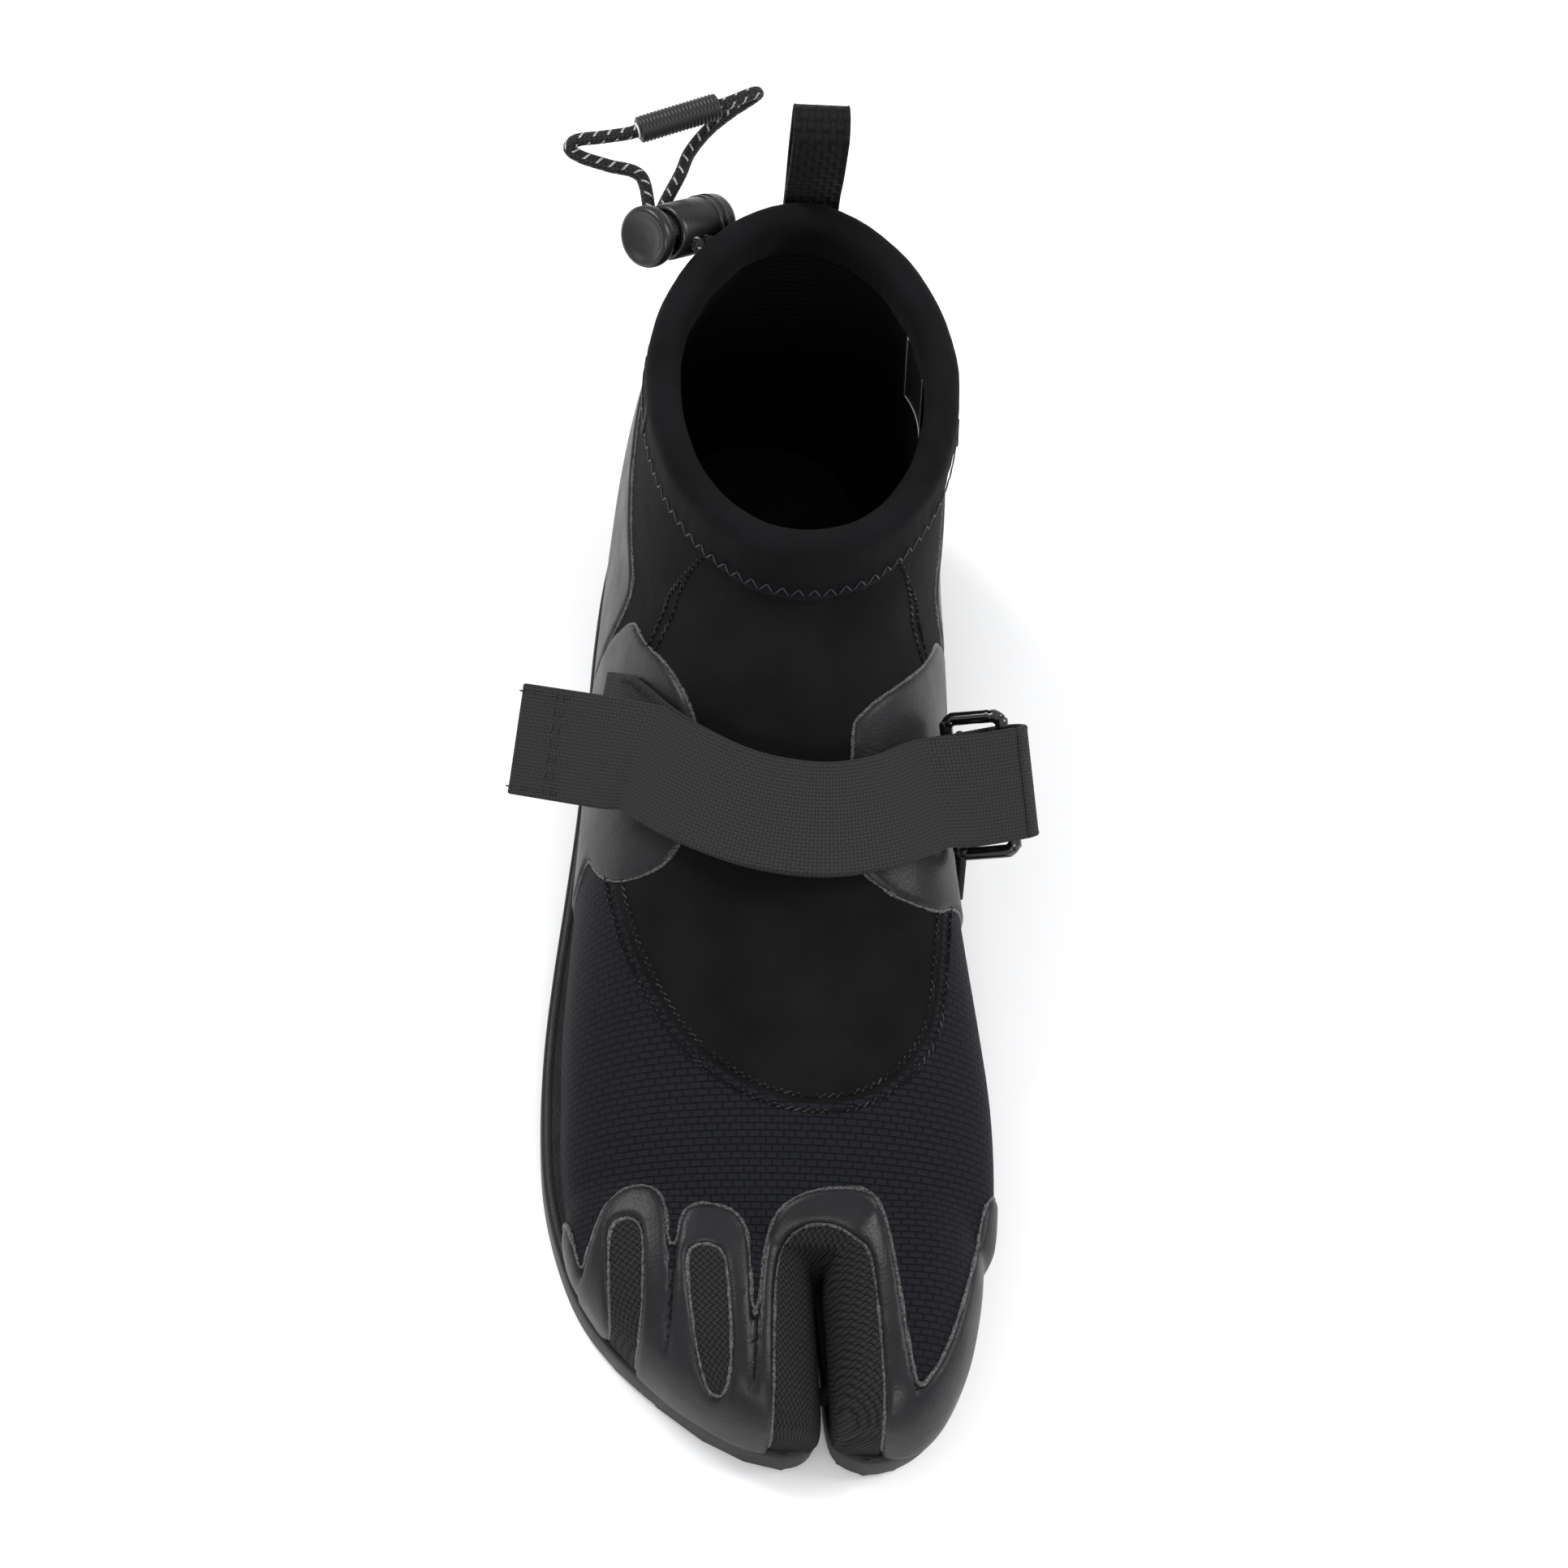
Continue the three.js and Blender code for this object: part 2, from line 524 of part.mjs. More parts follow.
piece("toe_overlay", windows.reduce((left, w) => left.subtract(planRegion(w, gap)), toeSkin), RUBBER, 0.5);

const toeEnd = yBand(-FAR, -60);
const insertSkin = layer(gap, gap + insertCloth).intersect(slab(cupHeight + gap, FAR)).intersect(toeEnd);
piece("outer_toe_insert", insertSkin.intersect(planRegion(OUTER_WINDOW)), MESH_CLOTH, 0.8);
piece("middle_toe_insert", insertSkin.intersect(planRegion(MIDDLE_WINDOW)), MESH_CLOTH, 0.8);
piece("split_toe_insert", insertSkin.intersect(planRegion(SPLIT_WINDOW)), MESH_CLOTH, 0.8);

// The strap anchors reach up both sides of the instep, and the heel counter wraps the heel between them.
const LATERAL_ANCHOR = [
  [-4, 0], [-4, 24], [1, 33], [-7, 38], [-13, 45], [-13, 53], [-6, 58], [4, 60], [16, 70], [29, 70], [40, 62],
  [50, 58], [50, 0],
];
const MEDIAL_ANCHOR = [
  [-12, 0], [-12, 30], [-14, 42], [-19, 47], [-18, 57], [6, 69], [16, 75], [24, 73], [36, 64], [50, 54], [50, 0],
];
const HEEL_COUNTER = [[50, 0], [50, 57], [66, 62], [88, 74], [106, 88], [112, 100], [160, 100], [160, 0]];
const innerEdge = 13; // how far the anchors stay off the middle of the instep
const lateralSide = block(-FAR, -innerEdge * grade.x, -FAR, FAR, -FAR, FAR);
const medialSide = block(innerEdge * grade.x, FAR, -FAR, FAR, -FAR, FAR);
piece("lateral_strap_anchor", skin.intersect(sideRegion(LATERAL_ANCHOR)).intersect(lateralSide), RUBBER, 0.5);
piece("medial_strap_anchor", skin.intersect(sideRegion(MEDIAL_ANCHOR)).intersect(medialSide), RUBBER, 0.5);
const heelSkin = skin.intersect(sideRegion(HEEL_COUNTER)).intersect(yBand(50 + gap, FAR));
piece("heel_counter", heelSkin, RUBBER, 0.5);

// ---- Strap with its ring ----------------------------------------------------------------------------
// The strap's middle line over the foot, from the lateral anchor to the big toe: each station's v and y.
// Its lower layer lies on the sock, passes through the ring and folds back over the outer bar.
const STRAP_ROUTE = [
  [0.80, 28], [0.84, 21], [0.885, 10], [0.93, 1.5], [0.975, -4.2], [1.02, -5.6], [1.065, -2.2], [1.11, 4],
];
// Where the line v of the foot's surface crosses y, ahead of the ankle.
function atY(v, y) {
  let [low, high] = [4, 9.5];
  for (let i = 0; i < 24; i++) {
    const t = (low + high) / 2;
    if (footPoint(FOOT, t, v).y < y * grade.y) low = t;
    else high = t;
  }
  return low;
}
const routeOnFoot = STRAP_ROUTE.map(([v, y]) => [atY(v, y), v]);
// Points and normals of the foot where the strap and its keeper pass.
const footGrid = [];
for (let t = 4; t <= 11; t += 0.2)
  for (let v = 0.7; v <= 1.36; v += 0.012) footGrid.push([footPoint(FOOT, t, v), footNormal(FOOT, t, v)]);
function height(p) {
  let [best, nearest] = [Infinity, 0];
  for (const [q, normal] of footGrid) {
    const distance = p.distanceToSquared(q);
    if (distance < best) [best, nearest] = [distance, p.clone().sub(q).dot(normal)];
  }
  return nearest;
}
// A station moved up or down until a band of this width and thickness just stands off the foot all across.
function lifted(station, width, thickness, standoff) {
  const under = [-1, -0.5, 0, 0.5, 1].map((share) =>
    height(station.at.clone().addScaledVector(station.side, (share * width) / 2)) - thickness / 2);
  return { ...station, at: station.at.clone().addScaledVector(station.up, standoff - Math.min(...under)) };
}
// The same, but only where the band would come closer than that.
function keptOff(station, width, thickness, standoff) {
  const moved = lifted(station, width, thickness, standoff);
  return moved.at.clone().sub(station.at).dot(station.up) > 0 ? moved : station;
}
const routeSteps = routeOnFoot.map(([t, v], i) => {
  const up = footNormal(FOOT, t, v);
  const before = footPoint(FOOT, ...routeOnFoot[Math.max(0, i - 1)]);
  const after = footPoint(FOOT, ...routeOnFoot[Math.min(routeOnFoot.length - 1, i + 1)]);
  const run = after.sub(before).normalize();
  const side = up.clone().cross(run).normalize();
  return { at: footPoint(FOOT, t, v), side, up: run.clone().cross(side).normalize() };
});
const evened = routeSteps.map((step, i) => {
  const near = routeSteps.slice(Math.max(0, i - 1), i + 2);
  const side = near.reduce((sum, s) => sum.add(s.side), vec(0, 0, 0)).normalize();
  const up = step.up.clone().projectOnPlane(side).normalize();
  return { at: step.at, side, up };
});
const onFoot = evened.map((step) => lifted(step, strapWidth, webbing, strapLift));

// The ring stands off the big toe's side. u runs outwards along the strap, w along the ring's bars and n up.
const lastOnFoot = onFoot[onFoot.length - 1];
const u = vec(0.857, 0.397, -0.323).normalize();
const w = vec(-0.12, 0.8, 0.55).projectOnPlane(u).normalize();
const n = u.clone().cross(w);
const strapReach = 20; // from the foot to the ring's outer bar
const foldRadius = ringWire / 2 + foldRoom + webbing / 2;
const outerBar = lastOnFoot.at.clone().addScaledVector(u, strapReach).addScaledVector(n, foldRadius);
const fromBar = (along, up, across = 0) =>
  outerBar.clone().addScaledVector(u, along).addScaledVector(n, up).addScaledVector(w, across);
const flat = (along, up) => ({ at: fromBar(along, up), side: w, up: n });

// The strap goes round the outer bar in a loose half turn.
const foldSteps = 8;
const fold = Array.from({ length: foldSteps + 1 }, (_, i) => {
  const angle = -Math.PI / 2 + (Math.PI * i) / foldSteps;
  const [c, sn] = [Math.cos(angle), Math.sin(angle)];
  const up = u.clone().multiplyScalar(-c).addScaledVector(n, -sn);
  return { at: fromBar(foldSlack + foldRadius * c, foldRadius * sn), side: w, up };
});
const leavingFoot = keptOff(flat(-strapReach / 2, -foldRadius), strapWidth, webbing, strapLift);
const lowerRun = [...onFoot, leavingFoot, flat(-3, -foldRadius), ...fold];
const smoothness = 3; // stations between two route points
const strapRun = refined(lowerRun, smoothness);
piece("instep_strap", band(strapRun, strapWidth, webbing), WEBBING, 0.8);

// The flap lies back over the foot on its hook and loop patches, and its tab hangs past the little toe's
// side. The patches' air is a little more than the gap, because all these bands bend.
const patchAir = 1.6 * gap;
const patchGap = patchAir + patchThickness;
const flapLift = webbing + 2 * patchGap + 2 * gap;
const above = ({ at, side, up }, lift) => ({ at: at.clone().addScaledVector(up, lift), side, up });
const flapStart = 0.4; // behind the top of the fold
const tabEnd = vec(-60.5 * grade.x, 20 * grade.y, soleTop + 46 * grade.z);
const overFoot = strapRun.slice(2 * smoothness, (onFoot.length - 1) * smoothness + 1).reverse();
const flapOverFoot = overFoot.map((station) => above(station, flapLift));
const flapFromRing = [
  flat(foldSlack - flapStart, foldRadius),
  flat(-2, foldRadius - 0.4),
  flat(-strapReach / 2, -foldRadius + flapLift + 2.2),
  flapOverFoot[0],
];
const flapEdge = flapOverFoot[flapOverFoot.length - 1];
const towardsTab = tabEnd.clone().sub(flapEdge.at);
const tabUp = towardsTab.clone().cross(flapEdge.side).normalize();
if (tabUp.z < 0) tabUp.negate();
const tabSide = tabUp.clone().cross(towardsTab).normalize().negate();
const tabStation = (share) =>
  ({ at: flapEdge.at.clone().addScaledVector(towardsTab, share), side: tabSide, up: tabUp });
const flapRun = [
  ...refined(flapFromRing, smoothness).slice(0, -1),
  ...flapOverFoot,
  ...refined([flapEdge, tabStation(0.35), tabStation(1)], smoothness).slice(1),
];
piece("strap_flap", band(flapRun, strapWidth, webbing), WEBBING, 0.8);

// The tab's end is folded back under the flap and sewn down.
const foldedEnd = 9;
const hemShare = foldedEnd / towardsTab.length();
const underFlap = [tabStation(1 - hemShare), tabStation(1)].map((at) => above(at, -webbing - gap));
piece("strap_end_tab", band(underFlap, strapWidth - 0.6, webbing), WEBBING, 0.8);

// Loop pile on the strap and hooks under the flap, over the instep.
const patchWidth = strapWidth - 4;
const patchFrom = 2 * smoothness;
const loopRun = strapRun.slice(patchFrom, 7 * smoothness);
const hookRun = strapRun.slice(patchFrom, 6 * smoothness);
const loopLift = webbing / 2 + patchAir + patchThickness / 2;
const hookLift = loopLift + patchGap;
piece("loop_patch", band(loopRun.map((p) => above(p, loopLift)), patchWidth, patchThickness), NEOPRENE, 1);
piece("hook_patch", band(hookRun.map((p) => above(p, hookLift)), patchWidth, patchThickness), PLASTIC, 0.7);

// The ring slopes down from the strap's bar to the keeper's bar, under the strap's lower layer.
const keeperThickness = 1.4;
const innerDrop = foldRadius + webbing / 2 + 3 * gap + keeperThickness + ringWire / 2 + 0.4;
const innerBack = Math.sqrt(Math.max(4, ringSpan ** 2 - innerDrop ** 2));
const innerBar = fromBar(-innerBack, -innerDrop);
const ringRun = innerBar.clone().sub(outerBar);
const ringHalf = strapWidth / 2 + ringClearance + ringWire / 2;
function ringLoop() {
  const corner = ringWire * 0.6;
  const away = ringRun.clone().normalize();
  const at = (x, y) => outerBar.clone().addScaledVector(w, x).addScaledVector(away, y);
  const points = [];
  for (const [sideX, sideY] of [[1, 0], [1, 1], [-1, 1], [-1, 0]]) {
    const [x, y] = [sideX * ringHalf, sideY * ringRun.length()];
    const [dx, dy] = [-sideX * corner, sideY ? -corner : corner];
    const turn = [at(x + dx, y), at(x + dx * 0.3, y + dy * 0.3), at(x, y + dy)];
    points.push(...((sideX > 0) === (sideY > 0) ? turn.reverse() : turn));
  }
  return points;
}
piece("strap_ring", wireRing(ringLoop(), ringWire), PLASTIC, 0.3);

// The keeper is a short webbing that comes up the foot from the sole, goes round the ring's inner bar and
// back.
const keeperWidth = 19;
const keeperLift = strapLift + 1.2; // off the foot where it comes up over the anchor
const keeperRadius = ringWire / 2 + 2 * gap + keeperThickness / 2;
const keeperFoot = footOffset(atY(0.26, 9), 0.26, 3.4);
const drop = keeperFoot.clone().sub(innerBar).projectOnPlane(w).normalize();
const outwards = drop.clone().cross(w);
if (outwards.x < 0) outwards.negate();
const lowSide = vec(-0.08, 1, 0.02).normalize();
function keeperStation(along, out, side, up) {
  return { at: innerBar.clone().addScaledVector(drop, along).addScaledVector(outwards, out), side, up };
}
const keeperDepth = keeperFoot.clone().sub(innerBar).dot(drop);
const keeperTurnSteps = 6;
const keeperTurn = Array.from({ length: keeperTurnSteps + 1 }, (_, i) => {
  const angle = (Math.PI * i) / keeperTurnSteps;
  const [c, sn] = [Math.cos(angle), Math.sin(angle)];
  const up = outwards.clone().multiplyScalar(c).addScaledVector(drop, -sn);
  return keeperStation(-keeperRadius * sn, keeperRadius * c, w, up);
});
const keeperRise = [0.72, 0.45].map((share) => {
  const side = lowSide.clone().lerp(w, 1 - share).normalize();
  const station = keeperStation(keeperDepth * share, keeperThickness, side, outwards);
  return keptOff(station, keeperWidth, keeperThickness, keeperLift);
});
const keeperRun = [
  lifted({ at: keeperFoot, side: lowSide, up: outwards }, keeperWidth, keeperThickness, keeperLift),
  ...keeperRise,
  ...keeperTurn,
  keeperStation(keeperDepth * 0.06, -keeperThickness * 0.9, w, outwards),
];
piece("ring_keeper", band(keeperRun, keeperWidth, keeperThickness), WEBBING, 0.8);

// ---- Pull tab ---------------------------------------------------------------------------------------
const heelV = 0.488; // the tab sits a little to the big toe's side of the heel
const tabRoot = atLevel(heelV, hemBottom + 6, hemOuter);
const tabBottom = hemBottom + 2;
const tabTop = collarHeight + tabRise;
const tabSlack = 0.6; // the tab stands this much off the flat back of the hem
const innerLeg = tabRoot.y + gap + webbing / 2 + tabSlack;
const outerLeg = innerLeg + webbing + gap;
const tabMiddle = innerLeg + 0.5;
const neckZ = collarHeight + 9; // the legs begin to part here
const loopRadius = (tabRoom + webbing) / 2;
function tabPoint(y, z) {
  return vec(tabRoot.x, y, z);
}
const tabPath = [
  tabPoint(innerLeg, tabBottom),
  tabPoint(innerLeg, collarHeight - 2),
  tabPoint(tabMiddle - loopRadius * 0.7, neckZ),
];
const tabArcSteps = 8;
for (let i = 0; i <= tabArcSteps; i++) {
  const angle = Math.PI - (Math.PI * i) / tabArcSteps;
  const y = tabMiddle + loopRadius * Math.cos(angle);
  tabPath.push(tabPoint(y, tabTop - loopRadius + loopRadius * Math.sin(angle)));
}
tabPath.push(tabPoint(tabMiddle + loopRadius * 0.85, neckZ));
tabPath.push(tabPoint(outerLeg, collarHeight - 2));
tabPath.push(tabPoint(outerLeg, tabBottom));
const tabStations = tabPath.map((at, i) => {
  const before = tabPath[Math.max(0, i - 1)];
  const after = tabPath[Math.min(tabPath.length - 1, i + 1)];
  const run = after.clone().sub(before).normalize();
  return { at, side: vec(1, 0, 0), up: vec(1, 0, 0).cross(run) };
});
piece("pull_tab", band(tabStations, tabWidth, webbing), WEBBING, 0.8);

// ---- Cord lock --------------------------------------------------------------------------------------
const barrelStart = onLock(-barrelLength / 2, 0);
const across = barrelAxis.clone().cross(lockOut);
const cordRoom = cordDiameter + 2 * slotEase;
// A straight slot through the lock for both cords, from low to high along the barrel.
function cordSlot(low, high, width) {
  const box = new THREE.BoxGeometry(high - low, 4 * barrelRadius, width);
  box.applyMatrix4(new THREE.Matrix4().makeBasis(barrelAxis, lockOut, across));
  const middle = barrelStart.clone().addScaledVector(barrelAxis, (low + high) / 2);
  return solid(box.translate(middle.x, middle.y, middle.z));
}
const slotLow = seatHeight - cordPitch / 2 - cordRoom / 2;
const slotHigh = seatHeight + cordPitch / 2 + cordRoom / 2;
const boreRadius = barrelRadius - barrelWall;
const chamfer = 0.8;
const barrelProfile = [
  [0, 0], [barrelRadius - chamfer, 0], [barrelRadius, chamfer], [barrelRadius, barrelLength - chamfer / 2],
  [barrelRadius - chamfer / 2, barrelLength], [boreRadius, barrelLength], [boreRadius, barrelWall],
  [0, barrelWall],
];
const barrel = turned(barrelProfile, barrelStart, barrelAxis).subtract(cordSlot(slotLow, slotHigh, cordRoom));
piece("cord_lock_barrel", barrel, PLASTIC, 0.35);

const stemRadius = boreRadius - gap;
const stemBridge = 1.6; // the stem's solid end, past its slot
const stemBottom = slotLow - stemBridge;
const capLow = barrelLength + buttonTravel + gap;
const capHigh = capLow + buttonThickness;
const buttonProfile = [
  [0, stemBottom], [stemRadius, stemBottom], [stemRadius, capLow], [buttonRadius - 0.5, capLow],
  [buttonRadius, capLow + 0.6], [buttonRadius, capHigh - 0.8], [buttonRadius - 0.8, capHigh],
  [buttonRadius * 0.6, capHigh - buttonDish * 0.75], [0, capHigh - buttonDish],
];
const stemSlot = cordSlot(slotLow, slotHigh + buttonTravel, cordRoom);
piece("cord_lock_button", turned(buttonProfile, barrelStart, barrelAxis).subtract(stemSlot), PLASTIC, 0.3);

const springLow = barrelWall + gap + springWire / 2;
const springHigh = stemBottom - gap - springWire / 2;
const springPoints = [];
const springStops = springTurns * 8;
for (let i = 0; i <= springStops; i++) {
  const angle = (i / 8) * 2 * Math.PI;
  const along = springLow + ((springHigh - springLow) * i) / springStops;
  const at = barrelStart.clone().addScaledVector(barrelAxis, along);
  at.addScaledVector(lockOut, springRadius * Math.cos(angle));
  springPoints.push(at.addScaledVector(across, springRadius * Math.sin(angle)));
}
piece("cord_lock_spring", cord(springPoints, springWire, 36, 6), STEEL, 0.3, 1);

// ---- Free cords -------------------------------------------------------------------------------------
piece("cord_stub_front", cord(stubPaths[0], cordDiameter, 12), PLASTIC, 0.7);
piece("cord_stub_rear", cord(stubPaths[1], cordDiameter, 12), PLASTIC, 0.7);

// Past the lock the cord's two ends turn back to meet in the sleeve. The route moves with the heel and the
// collar's rim.
const lockY = 132; // where the lock hangs on the sizes in LAST
const routeShift = vec(0, lockY * (grade.y - 1), collarHeight - LAST.height);
const sleeveLeft = vec(-38, 146, 110).add(routeShift);
const sleeveAxis = vec(18, 7.5, 0.5).normalize();
const sleeveRight = sleeveLeft.clone().addScaledVector(sleeveAxis, sleeveLength);
const LEFT_LOOP = [
  [-37, 138, 103.5], [-44.5, 139.5, 105], [-50.5, 140.3, 106.6], [-53.4, 141.4, 108.2], [-51.8, 142.6, 109.8],
  [-46.5, 143.4, 110.2],
];
const RIGHT_LOOP = [
  [-28, 140, 102.3], [-26, 145.5, 103.2], [-22, 151, 104.6], [-17, 155.5, 105.8], [-12.8, 158.3, 107],
  [-10.9, 159, 108.6], [-12.2, 157.9, 110],
];
function strand(seat, route, end) {
  const start = [gap / 2, barrelRadius / 2, barrelRadius + 1].map((out) => onLock(seat, out));
  return [...start, ...route.map(([x, y, z]) => vec(x, y, z).add(routeShift)), ...end];
}
const inSleeve = 5; // how far each end of the cord goes into the sleeve
const leadIn = 2.5; // straight cord before the sleeve
const leftEnd = [-leadIn, 0, inSleeve].map((along) => sleeveLeft.clone().addScaledVector(sleeveAxis, along));
const rightEnd = [leadIn, 0, -inSleeve].map((along) =>
  sleeveRight.clone().addScaledVector(sleeveAxis, along));
piece("cord_loop_left", cord(strand(cordSeats[0], LEFT_LOOP, leftEnd), cordDiameter, 26), PLASTIC, 0.7);
piece("cord_loop_right", cord(strand(cordSeats[1], RIGHT_LOOP, rightEnd), cordDiameter, 26), PLASTIC, 0.7);
const sleeveBore = cordDiameter / 2 + gap;
const sleeveProfile = [
  [sleeveBore, 0], [sleeveRadius - sleeveEdge, 0], [sleeveRadius, sleeveEdge],
  [sleeveRadius, sleeveLength - sleeveEdge], [sleeveRadius - sleeveEdge, sleeveLength],
  [sleeveBore, sleeveLength], [sleeveBore, 0],
];
piece("cord_sleeve", turned(sleeveProfile, sleeveLeft, sleeveAxis, 16), PLASTIC, 0.6);

// ---- Care label -------------------------------------------------------------------------------------
const labelV = 0.3; // where it is sewn in, on the big toe's side
const labelLevel = hemBottom - gap - labelHeight / 2 - 1;
const labelMiddle = atLevel(labelV, labelLevel, -neoprene - labelStandoff);
const labelOut = footNormal(FOOT, FOOT.length - 4, labelV);
const labelSide = vec(0, 0, 1).cross(labelOut).normalize();
function label() {
  const card = new THREE.BoxGeometry(labelWidth, labelHeight, labelThickness);
  card.applyMatrix4(new THREE.Matrix4().makeBasis(labelSide, labelOut.clone().cross(labelSide), labelOut));
  return solid(card.translate(labelMiddle.x, labelMiddle.y, labelMiddle.z));
}
piece("care_label", label(), LABEL_TAPE, 0.5);

export default boot;
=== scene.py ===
import json
import math

import bpy
import numpy as np
from mathutils import Matrix, Vector


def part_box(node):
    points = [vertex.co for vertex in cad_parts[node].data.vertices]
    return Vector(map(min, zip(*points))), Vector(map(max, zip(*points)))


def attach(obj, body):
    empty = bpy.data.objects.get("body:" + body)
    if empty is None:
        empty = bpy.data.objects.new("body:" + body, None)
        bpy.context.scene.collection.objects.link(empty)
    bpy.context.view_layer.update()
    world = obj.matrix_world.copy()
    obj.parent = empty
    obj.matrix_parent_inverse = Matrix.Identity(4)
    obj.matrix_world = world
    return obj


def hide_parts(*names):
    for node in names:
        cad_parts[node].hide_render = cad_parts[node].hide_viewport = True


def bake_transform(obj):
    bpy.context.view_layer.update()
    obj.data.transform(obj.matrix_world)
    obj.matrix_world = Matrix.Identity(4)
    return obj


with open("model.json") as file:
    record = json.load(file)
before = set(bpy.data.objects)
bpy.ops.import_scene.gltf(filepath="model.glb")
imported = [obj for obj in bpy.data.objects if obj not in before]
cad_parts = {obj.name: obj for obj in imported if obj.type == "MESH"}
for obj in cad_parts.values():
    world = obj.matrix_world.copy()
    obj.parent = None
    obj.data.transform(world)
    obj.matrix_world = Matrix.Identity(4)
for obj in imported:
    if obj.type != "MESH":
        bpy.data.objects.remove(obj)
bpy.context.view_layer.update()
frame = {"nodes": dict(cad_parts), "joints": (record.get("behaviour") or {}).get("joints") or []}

MM = 0.001
rng = np.random.default_rng(7)


def box_mm(node):
    low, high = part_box(node)
    return np.array(low) / MM, np.array(high) / MM


# ---- Sizes from the frame ----------------------------------------------------------------------------
sole_low, sole_high = box_mm("outsole")
hem_low, hem_high = box_mm("collar_hem_rear")
CUP_HEIGHT = sole_high[2]
RIM = hem_high[2]
HEM_BOTTOM = hem_low[2]
HEM_SEAM = hem_low[1]
SOLE_TOP = box_mm("sock_bottom")[0][2]
LAST = {"length": 269, "width": 97, "height": 108, "sole_top": 5}  # what the tables below are written for
GRADE = np.array([
    (sole_high[0] - sole_low[0]) / LAST["width"],
    (sole_high[1] - sole_low[1]) / LAST["length"],
    (RIM - SOLE_TOP) / (LAST["height"] - LAST["sole_top"]),
])
NEOPRENE = 2.5  # wall of the sock
RUBBER = 0.9  # height of the moulded overlays
CORD = 3.0  # drawcord's diameter


# ---- Camera, light and floor -------------------------------------------------------------------------
def set_camera():
    azimuth, elevation, distance = math.radians(-7), math.radians(60), 1.05
    target = Vector((0, 0.017, 0.040))
    back = Vector((
        math.sin(azimuth) * math.cos(elevation),
        -math.cos(azimuth) * math.cos(elevation),
        math.sin(elevation),
    ))
    right = Vector((math.cos(azimuth), math.sin(azimuth), 0))
    up = back.cross(right)
    roll = math.atan2(right.y, up.y)  # keeps the heel straight above the toes in the picture
    side = right * math.cos(roll) - up * math.sin(roll)
    top = right * math.sin(roll) + up * math.cos(roll)
    camera = bpy.data.objects.new("camera", bpy.data.cameras.new("camera"))
    bpy.context.scene.collection.objects.link(camera)
    turned = Matrix((side, top, back)).transposed().to_4x4()
    camera.matrix_world = Matrix.Translation(target + back * distance) @ turned
    camera.data.lens = 106.6
    camera.data.sensor_width = 36
    bpy.context.scene.camera = camera


def area_light(name, location, size, energy, target=(0, 0, 0.03)):
    data = bpy.data.lights.new(name, "AREA")
    data.shape = "DISK"
    data.size = size
    data.energy = energy
    light = bpy.data.objects.new(name, data)
    bpy.context.scene.collection.objects.link(light)
    light.location = location
    light.rotation_euler = (Vector(location) - Vector(target)).to_track_quat("Z", "Y").to_euler()


def set_studio():
    world = bpy.data.worlds.new("studio")
    world.use_nodes = True
    world.node_tree.nodes["Background"].inputs["Color"].default_value = (1, 1, 1, 1)
    world.node_tree.nodes["Background"].inputs["Strength"].default_value = 0.72
    bpy.context.scene.world = world
    bpy.context.scene.view_settings.view_transform = "Standard"  # keeps the floor white and the cloth black
    area_light("key", (-0.7, 0.55, 1.1), 0.5, 13)
    area_light("fill", (0.9, 0.1, 0.8), 0.5, 7)
    area_light("front", (0.1, -1.0, 0.7), 0.4, 4)
    floor_size = 6
    bpy.ops.mesh.primitive_plane_add(size=floor_size, location=(0, 0, 0))
    floor = bpy.context.object
    floor.name = "floor"
    floor.data.materials.append(plain("floor_paint", (0.96, 0.965, 0.975), 0.9))


